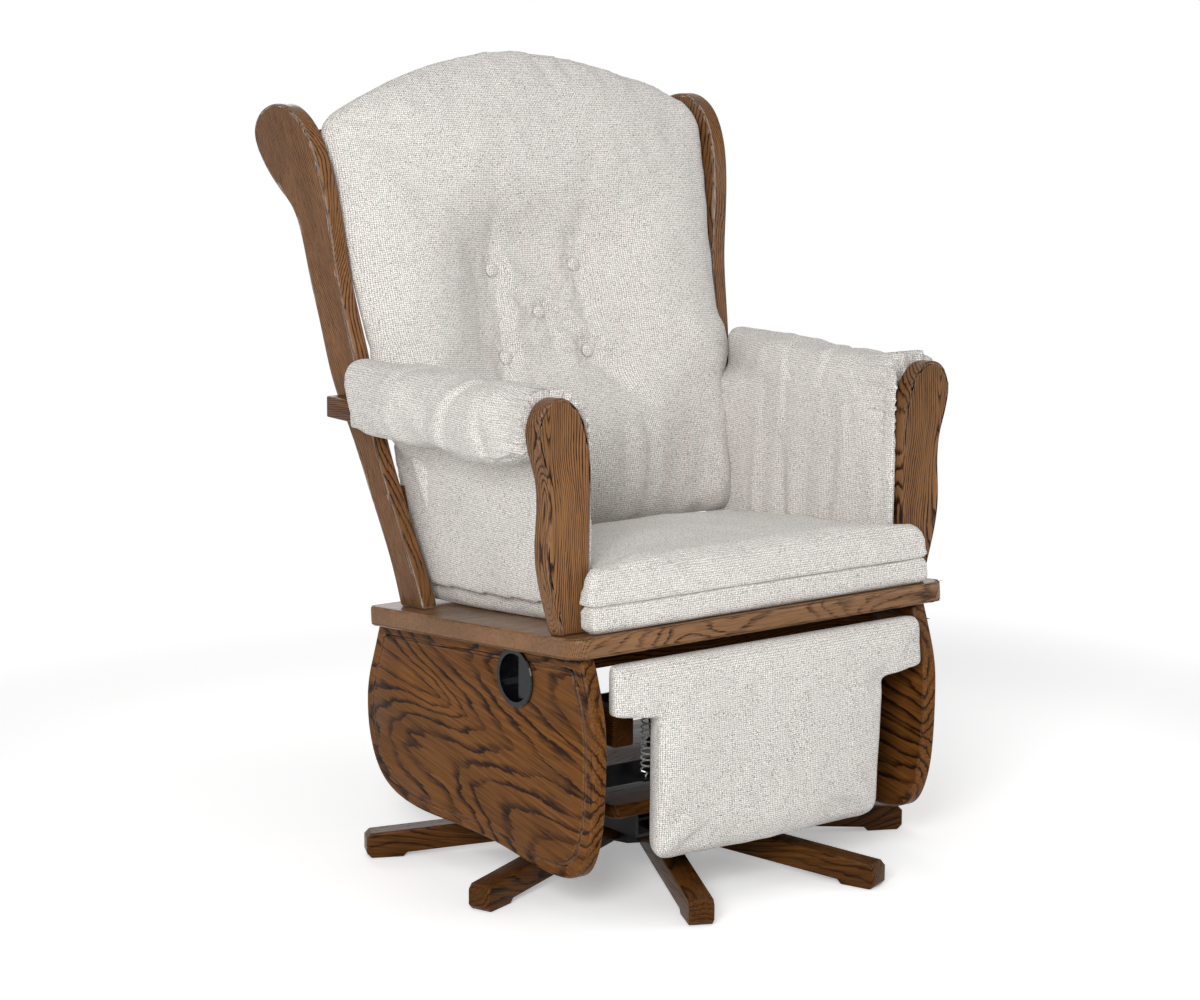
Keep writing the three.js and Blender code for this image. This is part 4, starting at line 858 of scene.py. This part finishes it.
def back_relief(places, plane):
    """The height of creases, puckers and waves over the cushion."""
    height = sum(creases_of(plane, BACK_CREASES))
    for far, x, up in button_distances(plane):
        height *= 0.15 + 0.85 * smooth_step(far, *BUTTON_CALM)
        turn = np.arctan2(plane[:, 1] - up, plane[:, 0] - x)
        pucker = np.cos(PUCKER_COUNT * turn + x) * bell(far - PUCKER_FAR, PUCKER_SPREAD)
        height += PUCKER_HEIGHT * pucker
    height += ripples(places, BACK_WAVES, BACK_SEED)
    phase = 2 * np.pi * plane[:, 0] / LOW_PITCH + 2 * ripple(places, 0.2, BACK_SEED + 2)
    return height + LOW_HEIGHT * bell(plane[:, 1], LOW_SPREAD) * np.cos(phase)


def back_finish(piece):
    refine(piece)
    places = coords(piece.data)
    plane, out = back_plane(places)
    front = smooth_step(coords(piece.data, "normal") @ BACK_OUT, 0.0, 0.5)
    places = tufted(places, plane, out, front)
    square_off(places, plane, out)
    move_to(piece.data, places)
    press(piece, back_relief(places, plane) * front)
    # Its lower edge rolls forward and rests on the seat
    places = coords(piece.data)
    plane, out = back_plane(places)
    sag = 1 - smooth_step(plane[:, 1], *ROLL_RISE)
    inner = 1 - smooth_step(np.abs(plane[:, 0]), *ROLL_HALF)
    ahead = smooth_step(out, *ROLL_DEPTH)
    places[:, 2] -= BACK_DROP * sag * inner * ahead
    places[:, 1] -= BACK_ROLL * sag * inner * ahead
    move_to(piece.data, places)
    shade_smooth(piece.data)


def make_button(name, base, material):
    """A covered dome on the cushion at base, its rim slightly waved."""
    drawn = bmesh.new()
    out, right, rise = Vector(BACK_OUT), Vector((1, 0, 0)), Vector(BACK_UP)
    top = drawn.verts.new(base + out * BUTTON_RISE)
    last = None
    for ring in range(1, BUTTON_RINGS + 1):
        turn = BUTTON_TURN * ring / BUTTON_RINGS
        wide = BUTTON_RADIUS * math.sin(turn)
        tall = BUTTON_RISE - BUTTON_DROP * (1 - math.cos(turn))
        row = []
        for k in range(BUTTON_SIDES):
            angle = 2 * math.pi * k / BUTTON_SIDES
            wave = 1 + 0.02 * math.cos(11 * angle) * (ring / BUTTON_RINGS)
            spread = (right * math.cos(angle) + rise * math.sin(angle)) * wide * wave
            row.append(drawn.verts.new(base + spread + out * tall))
        for k in range(BUTTON_SIDES):
            n = (k + 1) % BUTTON_SIDES
            if last is None:
                drawn.faces.new((top, row[k], row[n]))
            else:
                drawn.faces.new((last[k], row[k], row[n], last[n]))
        last = row
    drawn.faces.new(last)
    bmesh.ops.recalc_face_normals(drawn, faces=drawn.faces)
    mesh = bpy.data.meshes.new(name)
    drawn.to_mesh(mesh)
    drawn.free()
    shade_smooth(mesh)
    button = bpy.data.objects.new(name, mesh)
    scene.collection.objects.link(button)
    refine(button)
    dress(button, material, "seat")


def make_buttons(piece, material):
    found = surface(piece)
    for number, (x, up) in enumerate(BUTTONS, 1):
        start = BACK_LINE + BACK_UP * up * MM + BACK_OUT * 0.4 + np.array((x * MM, 0, 0))
        base = found.ray_cast(Vector(start), Vector(-BACK_OUT))[0]
        make_button(f"back_button_{number}", base, material)


# Seat cushion and the band under it
PLATFORM_HEIGHT = 38 * MM
SKIRT_LIFT = -2.5 * MM
SKIRT_SHARE = 0.72
BAND_REACH = 44 * MM
BAND_GROWS = (0.02, 0.09)
BAND_WAVE = 0.5 * MM
SEAM_NEAR = 7 * MM
SEAM_FILL = 4 * MM
SEAM_LIFT = 2 * MM
SIDE_TURN = (0.3, 0.8)
SEAT_WAVES = ((0.9 * MM, 0.13), (0.4 * MM, 0.05))
SEAT_CREASES = (
    # path in (x, y) mm, depth, width, ridge, fade at the ends
    (((-250, -262), (-215, -215), (-205, -150)), 2.2, 12, 1.0, (0.2, 0.6)),
    (((250, -262), (212, -220), (200, -150)), 2.2, 12, 1.0, (0.2, 0.6)),
    (((-120, 60), (-90, 0), (-96, -60)), 1.8, 14, 0.8, (0.2, 0.6)),
    (((90, 60), (70, 0), (84, -80)), 1.6, 14, 0.8, (0.2, 0.6)),
)
# Where the seat is free: between the arms, or ahead of the front posts, and not under the back
SEAT_BETWEEN = (0.225, 0.25)
SEAT_AHEAD = (-0.262, -0.25)
SEAT_UNDER_BACK = (0.0, 0.06)


def seam_height(places):
    """How far above the tilted seam between cushion and band."""
    low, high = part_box("seat_platform")
    return places[:, 2] - (high[2] - (places[:, 1] - low[1]) * math.tan(DECK_TILT))


def meet_line(piece, far):
    """Fills out a side wall near a seam, far being the signed distance from it."""
    places = coords(piece.data)
    flat = coords(piece.data, "normal")
    flat[:, 2] = 0
    long = np.linalg.norm(flat, axis=1, keepdims=True)
    near = np.exp(-((far / SEAM_NEAR) ** 2)) * smooth_step(long[:, 0], 0.15, 0.6)
    move_to(piece.data, places + flat / np.maximum(long, 0.05) * (SEAM_FILL * near)[:, None])


def seat_skirt():
    """A slab of the band's outline that squares off the cushion's lower half."""
    slab = copy_of("seat_platform", "seat_skirt")
    low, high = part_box("seat_platform")
    normal = np.array((0, math.sin(DECK_TILT), math.cos(DECK_TILT)))
    base = np.array((0, low[1], high[2] - PLATFORM_HEIGHT / math.cos(DECK_TILT)))
    places = coords(slab.data)
    up = (places - base) @ normal
    wanted = PLATFORM_HEIGHT + SKIRT_LIFT + up * SKIRT_SHARE
    move_to(slab.data, places + normal * (wanted - up)[:, None])
    return slab


def seat_start():
    piece = remeshed("seat_cushion", "seat_cushion_cover", FINE_VOXEL, 3, seat_skirt)
    places = coords(piece.data)
    normals = coords(piece.data, "normal")
    up = smooth_step(normals[:, 2], 0.0, 0.6)
    ahead = smooth_step(-normals[:, 1], 0.2, 0.8)
    inner = 1 - smooth_step(np.abs(places[:, 0]), *SEAT_BETWEEN)
    out_front = 1 - smooth_step(places[:, 1], *SEAT_AHEAD)
    free = np.maximum(up, ahead) * np.maximum(inner, out_front)
    free *= 1 - smooth_step(places[:, 1], *SEAT_UNDER_BACK)
    return piece, free


def seat_finish(piece):
    refine(piece)
    places = coords(piece.data)
    normals = coords(piece.data, "normal")
    up = smooth_step(normals[:, 2], 0.2, 0.8)
    ahead = smooth_step(-normals[:, 1], 0.3, 0.9)
    height = ripples(places, SEAT_WAVES, 11) * (up + ahead)
    for drawn_in in creases_of(places[:, :2] / MM, SEAT_CREASES):
        height += drawn_in * up
    press(piece, height)
    meet_line(piece, seam_height(places) - SEAM_LIFT)
    shade_smooth(piece.data)


def side_share(piece):
    normals = coords(piece.data, "normal")
    return smooth_step(np.hypot(normals[:, 0], normals[:, 1]), *SIDE_TURN)


def platform_start():
    piece = remeshed("seat_platform", "seat_band_cover", 4.0 * MM, 2)
    places = coords(piece.data)
    places[:, 1] += BAND_REACH * smooth_step(places[:, 1], *BAND_GROWS)
    move_to(piece.data, places)
    return piece, side_share(piece) * 0.6


def platform_finish(piece):
    refine(piece)
    meet_line(piece, seam_height(coords(piece.data)))
    places = coords(piece.data)
    press(piece, BAND_WAVE * ripple(places, 0.07, 21) * side_share(piece))
    shade_smooth(piece.data)


# Arm cushions. A pair is where a share starts and where it is whole, in metres.
POST_HEAD = np.array((0.3155, 0.648))
PANEL_REACH = 34 * MM
PANEL_AHEAD = 20 * MM
ROLL_END = 50 * MM
ROLL_END_POWER = 2.0
ROLL_DRAWN_UP = 20 * MM
ROLL_OVER = 8 * MM
CHANNEL_GAP = 12 * MM
ARM_REAR = 0.168
ARM_FRONT = -0.2475
ROLL_ABOVE = (0.56, 0.60)
PANEL_BELOW = (0.57, 0.61)
PANEL_WITHIN = (0.272, 0.278)
AHEAD_OF = (-0.245, -0.19)
AHEAD_BELOW = (0.68, 0.702)
AHEAD_WITHIN = (0.270, 0.277)
BEHIND = (0.0, 0.14)
END_OF = (-0.245, -0.17)
UNDER_BELOW = (0.60, 0.68)
UNDER_OUTSIDE = (0.29, 0.31)
UNDER_ABOVE = (0.54, 0.57)
OVER_ABOVE = (0.66, 0.70)
CLEAR_FRONT = (-0.245, -0.215)
CLEAR_REAR = (0.03, 0.085)
HANG_ABOVE = (0.40, 0.45)
HANG_FREE = 0.35
# Gathers behind the post's head, rings drawn round the roll, and the inner panel's folds
GATHER_COUNTS = (8, 13, 21)
GATHER_REACH = 30 * MM
GATHER_START = 4 * MM
GATHER_HEIGHT = 5.0 * MM
ARM_ARCS = ((-0.165, 2.4), (-0.095, 3.2), (-0.03, 2.6), (0.045, 3.0))
ARM_WAVES = ((2.4 * MM, 0.11), (0.8 * MM, 0.042))
SOFT_FOLD = 1.3 * MM
SOFT_FOLD_PITCH = 0.058
SHARP_FOLDS = ((-0.155, 0.02), (-0.045, -0.015), (0.03, 0.01))
FOLD_RISE = 2.6 * MM
FOLD_DIP = 2.2 * MM
FOLD_ABOVE = (0.40, 0.46)
FOLD_BELOW = (0.50, 0.62)
OUTER_WAVE = 0.9 * MM
RELIEF_FRONT = (-0.246, -0.240)
RELIEF_REAR = (0.05, 0.1)
RELIEF_LEAST = 0.35
ARM_SEEDS = {-1: 32, 1: 31}
SIDE_WORDS = {-1: "left", 1: "right"}


def channel_fill(word):
    """The arm board's own shape, a little larger, to close its channel in the cushion."""
    fill = copy_of(f"arm_rail_{word}", "arm_fill")
    low, high = (np.array(corner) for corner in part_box(f"arm_rail_{word}"))
    places = coords(fill.data)
    centre = (low + high) / 2
    places = centre + (places - centre) * (1 + CHANNEL_GAP / (high - low))
    places[:, 1] = np.clip(places[:, 1], low[1] + WELD, ARM_REAR)
    move_to(fill.data, places)
    return fill


def arm_start(side):
    word = SIDE_WORDS[side]
    piece = remeshed(
        f"arm_cushion_{word}", f"arm_cover_{word}", FINE_VOXEL, 3, lambda: channel_fill(word)
    )
    places = coords(piece.data)
    x = places[:, 0] * side
    # The roll is drawn up against the post, and the panel runs on past both posts
    front = places[:, 1].min()
    roll = smooth_step(places[:, 2], *ROLL_ABOVE)
    panel = before(places[:, 2], PANEL_BELOW) * before(x, PANEL_WITHIN)
    ahead = before(places[:, 1], AHEAD_OF)
    ahead *= before(places[:, 2], AHEAD_BELOW) * before(x, AHEAD_WITHIN)
    behind = smooth_step(places[:, 1], *BEHIND)
    along = np.clip((places[:, 1] - front) / ROLL_END, 0, 1)
    pulled = front + ROLL_END * along**ROLL_END_POWER - places[:, 1]
    places[:, 1] += np.where(along < 1, pulled, 0) * (1 - panel)
    places[:, 1] -= ahead * PANEL_AHEAD - behind * panel * PANEL_REACH
    # Its end is drawn up behind the post's head, and stands above it
    end = before(places[:, 1], END_OF)
    under = before(places[:, 2], UNDER_BELOW) * smooth_step(x, *UNDER_OUTSIDE)
    under *= smooth_step(places[:, 2], *UNDER_ABOVE)
    over = smooth_step(places[:, 2], *OVER_ABOVE)
    places[:, 2] += end * (under * ROLL_DRAWN_UP + over * ROLL_OVER)
    move_to(piece.data, places)
    hanging = (1 - roll) * HANG_FREE * smooth_step(places[:, 2], *HANG_ABOVE)
    free = (roll + hanging) * smooth_step(places[:, 1], *CLEAR_FRONT)
    return piece, free * before(places[:, 1], CLEAR_REAR)


def gathered(places, turn, seed):
    """Fine folds that run back from the post's head."""
    chance = np.random.default_rng(seed)
    total = np.zeros(len(places))
    for count in GATHER_COUNTS:
        drift = chance.uniform(0, 2 * np.pi)
        wave = np.cos(count * turn + drift + 1.5 * np.sin(2 * turn + drift))
        total += (1 - 2 * np.abs(wave) ** 0.6) * (GATHER_COUNTS[0] / count) ** 0.6
    reach = GATHER_REACH * (1 + 0.45 * np.sin(5 * turn + seed))
    back = np.maximum(places[:, 1] - ARM_FRONT - GATHER_START, 0)
    return GATHER_HEIGHT * total * np.exp(-back / reach)


def roll_rings(places, turn, roll, seed):
    """Soft drawn-in rings round the roll, each with a swelling behind it."""
    for along, depth in ARM_ARCS:
        way = along + 0.014 * np.sin(1.3 * turn + along * 40) + 0.018 * np.cos(turn + seed)
        off = places[:, 1] - way
        ring = -bell(off, 6 * MM)
        ring += 0.8 * bell(off - 14 * MM, 9 * MM)
        yield depth * MM * ring * roll * (0.6 + 0.4 * np.sin(turn + along * 60))


def panel_folds(places, inner, seed):
    """Soft hanging folds on the inner panel, and three sharper ones."""
    wander = ripple(places * np.array((0, 1, 0.25)), 0.16, seed + 7)
    fold = np.cos(2 * np.pi * places[:, 1] / SOFT_FOLD_PITCH + 1.3 * wander)
    low = smooth_step(places[:, 2], *FOLD_ABOVE)
    low = low * (1 - 0.75 * smooth_step(places[:, 2], *FOLD_BELOW))
    yield SOFT_FOLD * fold * inner * low
    for along, bend in SHARP_FOLDS:
        off = places[:, 1] - along - bend * np.sin(6 * places[:, 2])
        yield FOLD_RISE * bell(off, 9 * MM) * inner * low
        yield -(FOLD_DIP * bell(off - 15 * MM, 8 * MM) * inner * low)


def arm_finish(piece, side):
    refine(piece)
    places = coords(piece.data)
    outward = coords(piece.data, "normal")[:, 0] * side
    x = places[:, 0] * side
    turn = np.arctan2(places[:, 2] - POST_HEAD[1], x - POST_HEAD[0])
    roll = smooth_step(places[:, 2], 0.56, 0.62)
    seed = ARM_SEEDS[side]
    height = gathered(places, turn, seed) * roll
    for ring in roll_rings(places, turn, roll, seed):
        height += ring
    height += ripples(places, ARM_WAVES, seed + 5) * roll * smooth_step(x, 0.27, 0.285)
    inner = smooth_step(-outward, *SIDE_TURN) * (1 - roll)
    for fold in panel_folds(places, inner, seed):
        height += fold
    outer = smooth_step(outward, *SIDE_TURN) * (1 - roll)
    height += OUTER_WAVE * ripple(places, 0.1, seed + 8) * outer
    limit = smooth_step(places[:, 1], *RELIEF_FRONT)
    limit = limit * (1 - 0.8 * smooth_step(places[:, 1], *RELIEF_REAR))
    press(piece, height * np.clip(limit, RELIEF_LEAST, 1))
    shade_smooth(piece.data)


# Footrest pad
FOOT_TUCK = 0.045
FOOT_TUCK_UP = 0.4
FOOT_SWELL = 7 * MM
FOOT_REAR_START = 0.008
FOOT_WAVES = ((0.8 * MM, 0.14), (0.35 * MM, 0.05))
FOOT_CREASE = ((199, 285), (184, 270), (160, 236))


def footrest_start():
    piece = remeshed("footrest_pad", "footrest_pad_cover", FINE_VOXEL, 3)
    low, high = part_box("footrest_pad")
    places = coords(piece.data)
    # The back edges tuck in and the front stands proud
    middle = (places[:, 2] - low[2]) / (high[2] - low[2])
    rear = smooth_step(places[:, 1], low[1] + FOOT_REAR_START, high[1])
    centre = (low[2] + high[2]) / 2
    places[:, 0] *= 1 - FOOT_TUCK * rear
    places[:, 2] = centre + (places[:, 2] - centre) * (1 - FOOT_TUCK_UP * FOOT_TUCK * rear)
    places[:, 1] -= FOOT_SWELL * (1 - rear) * np.sin(np.pi * np.clip(middle, 0.05, 0.95)) ** 0.3
    move_to(piece.data, places)
    return piece, smooth_step(-coords(piece.data, "normal")[:, 1], -0.1, 0.7)


def footrest_finish(piece):
    refine(piece)
    places = coords(piece.data)
    ahead = smooth_step(-coords(piece.data, "normal")[:, 1], 0.0, 0.6)
    height = ripples(places, FOOT_WAVES, 41) * ahead
    plane = places[:, (0, 2)] / MM
    for side in (-1, 1):
        path = [(side * x, z) for x, z in FOOT_CREASE]
        height += crease(plane, path, 2.4 * MM, 9, 1.4 * MM, (0, 0.6)) * ahead
    press(piece, height)
    shade_smooth(piece.data)


# How far the pressure may move a point
BACK_CAP = 12 * MM
SEAT_CAP = 6 * MM
BAND_CAP = 1.5 * MM
ARM_CAP = 6 * MM
FOOT_CAP = 4 * MM


def make_soft():
    upright = cloth("fabric_upright")
    raked = cloth("fabric_raked", tuple(BACK_UP))
    back, back_free = back_start()
    seat, seat_free = seat_start()
    band, band_free = platform_start()
    foot, foot_free = footrest_start()
    arms = [(side, *arm_start(side)) for side in (-1, 1)]
    stuff(
        [
            (back, BACK_CAP, back_free),
            (seat, SEAT_CAP, seat_free),
            (band, BAND_CAP, band_free),
            (foot, FOOT_CAP, foot_free),
            *((arm, ARM_CAP, free) for _, arm, free in arms),
        ]
    )
    back_finish(back)
    seat_finish(seat)
    platform_finish(band)
    footrest_finish(foot)
    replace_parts(dress(back, raked, "seat"), "back_cushion")
    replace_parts(dress(seat, upright, "seat"), "seat_cushion")
    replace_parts(dress(band, upright, "seat"), "seat_platform")
    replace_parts(dress(foot, upright, "footrest"), "footrest_pad")
    for side, arm, _ in arms:
        arm_finish(arm, side)
        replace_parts(dress(arm, upright, "seat"), f"arm_cushion_{SIDE_WORDS[side]}")
    make_buttons(back, raked)


# Wood: each board's grain and face directions, ease of its edges, and ring settings
POST_RAKE = math.radians(17)
PANEL_SLOPE = math.radians(11)
EASE = 2.2 * MM
SHARP = math.radians(40)
FLAT = math.radians(1)
SHADE_SHARP = math.radians(36)
BOARD_INSET = 0.94
RAIL_FRONT = -0.24
RAIL_TUCK = 60 * MM
LEG_COUNT = 8
SLAT_COUNT = 3


def eased(node, name, material, body, ease=EASE, rounds=0, segments=3):
    """A board with its edges eased, its curved outline made smooth when rounds is given, and its
    points kept within the node's box.
    """
    piece = copy_of(node, name)
    drawn = bmesh.new()
    drawn.from_mesh(piece.data)
    bmesh.ops.join_triangles(
        drawn,
        faces=drawn.faces,
        angle_face_threshold=FLAT,
        angle_shape_threshold=math.pi,
    )
    crease_of = drawn.edges.layers.float.new("crease_edge")
    for edge in drawn.edges:
        sharp = len(edge.link_faces) == 2 and edge.calc_face_angle() > SHARP
        edge[crease_of] = 1.0 if sharp else 0.0
    drawn.to_mesh(piece.data)
    drawn.free()
    if rounds:
        modify(piece, "SUBSURF", levels=rounds, render_levels=rounds)
    modify(
        piece,
        "BEVEL",
        width=ease,
        segments=segments,
        limit_method="ANGLE",
        angle_limit=SHARP,
        use_clamp_overlap=not rounds,
    )
    settle(piece)
    low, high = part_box(node)
    move_to(piece.data, np.clip(coords(piece.data), low, high))
    shade_smooth(piece.data)
    piece.data.set_sharp_from_angle(angle=SHADE_SHARP)
    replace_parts(dress(piece, material, body), node)
    return piece


def bodies_by_node():
    """The body that each CAD node rides on."""
    return {name: body_of(node)[0] for name, node in frame["nodes"].items()}


def make_wood():
    body = bodies_by_node()

    def board(node, ease=EASE, rounds=0, **settings):
        material = oak(f"oak_{node}", **settings)
        return eased(node, f"{node}_board", material, body[node], ease, rounds)

    hub = Vector((0, FRAME_SHIFT_Y, 0))
    up, ahead, beside = (0, 0, 1), (0, 1, 0), (1, 0, 0)
    # Each board's brightness factor carries painted light and shade: the 0.62 on the legs, base
    # board, stand posts and glide rails is painted shade under the seat, and the values just above
    # 1 on the front and back posts and the seat deck are painted light
    for number in range(1, LEG_COUNT + 1):
        low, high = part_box(f"leg_{number}")
        middle = (Vector(low) + Vector(high)) / 2 - hub
        board(
            f"leg_{number}",
            3 * MM,
            grain=(middle.x, middle.y, 0.03 * (number % 3)),
            face=up,
            pith=(0.006 * (number % 4), 0.02),
            ring=5.5 * MM,
            lean=0.08,
            band_dark=0.6,
            tone=0.62,
            gloss=0.12,
        )
    board("base_board", grain=beside, face=up, pith=(0.02, 0.07), ring=5 * MM, tone=0.62)
    for end in ("front", "rear"):
        board(f"deck_rail_{end}", grain=beside, face=ahead, tone=0.8)
        for side in ("left", "right"):
            board(f"stand_post_{end}_{side}", grain=up, face=ahead, tone=0.62)
    for sign, side in SIDE_WORDS.items():
        board(f"glide_rail_{side}", grain=ahead, face=beside, tone=0.62)
        board(
            f"side_panel_{side}",
            1.3 * MM,
            2,
            grain=(0, math.cos(PANEL_SLOPE), math.sin(PANEL_SLOPE)),
            face=(sign, 0, 0),
            ring=13 * MM,
            lean=0.19,
            pith=(sign * 0.235, -0.185),
            spread=0.10,
            wander=0.015,
            band_dark=0.85,
            gloss=0.06,
            worn=0.1,
        )
        # On the posts, the sheen share is painted sheen and the edge share a painted highlight on
        # their eased edges
        board(
            f"front_post_{side}",
            rounds=2,
            grain=(0.03 * sign, 0, 1),
            face=ahead,
            ring=3.4 * MM,
            lean=0.055,
            pith=(sign * 0.32, 0.235),
            band_dark=0.85,
            tone=1.06,
            gloss=0.3,
            veil=0.2,
            worn=0.12,
        )
        board(
            f"back_post_{side}",
            rounds=2,
            grain=(0, math.sin(POST_RAKE), math.cos(POST_RAKE)),
            face=beside,
            ring=3.2 * MM,
            lean=0.02,
            pith=(sign * 0.30, 0.12),
            band_dark=0.8,
            tone=1.06,
            gloss=0.3,
            veil=0.16,
            worn=0.5,
        )
        rail = board(f"arm_rail_{side}", grain=ahead, face=up, tone=0.9)
        places = coords(rail.data)
        front = 1 - smooth_step(places[:, 1], RAIL_FRONT, RAIL_FRONT + RAIL_TUCK)
        places[:, 1] += RAIL_TUCK * front
        move_to(rail.data, places)
    # The deck's sheen share is painted sheen, a pale tan over its wood
    board(
        "seat_deck",
        3.5 * MM,
        2,
        grain=(1, 0.03, 0),
        face=up,
        ring=2.4 * MM,
        lean=0.03,
        pith=(0.30, -0.37),
        wander=0.012,
        band_dark=0.5,
        tone=1.04,
        gloss=0.6,
        veil=0.3,
    )
    for rail in ("crest_rail", "lower_back_rail"):
        board(rail, rounds=2, grain=beside, face=tuple(BACK_OUT), pith=(0.98, 0.04))
    for number in range(1, SLAT_COUNT + 1):
        board(
            f"back_slat_{number}",
            grain=tuple(BACK_UP),
            face=tuple(BACK_OUT),
            pith=(0.15 * (number - 2), 0.04),
        )


def make_footrest_board():
    """The pad's board, drawn in a little so that the pad wraps over its edge."""
    board = copy_of("footrest_board", "footrest_panel")
    low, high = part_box("footrest_board")
    places = coords(board.data)
    centre = np.array((0, (low[1] + high[1]) / 2, (low[2] + high[2]) / 2))
    move_to(board.data, centre + (places - centre) * np.array((BOARD_INSET, 1, BOARD_INSET)))
    modify(board, "BEVEL", width=EASE / 2, segments=2, limit_method="ANGLE", angle_limit=SHARP)
    settle(board)
    dress(board, black_steel(), "footrest")
    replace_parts(board, "footrest_board")


def make_metal():
    finishes = {"black_steel": black_steel(), "zinc": zinc(), "black_plastic": black_plastic()}
    for part in frame["record"]["subparts"]:
        if part["material_slot"] in finishes:
            mesh = frame["nodes"][part["node"]].data
            for slot in range(len(mesh.materials)):
                mesh.materials[slot] = finishes[part["material_slot"]]


make_camera()
make_light()
make_floor()
make_soft()
make_wood()
make_footrest_board()
make_metal()
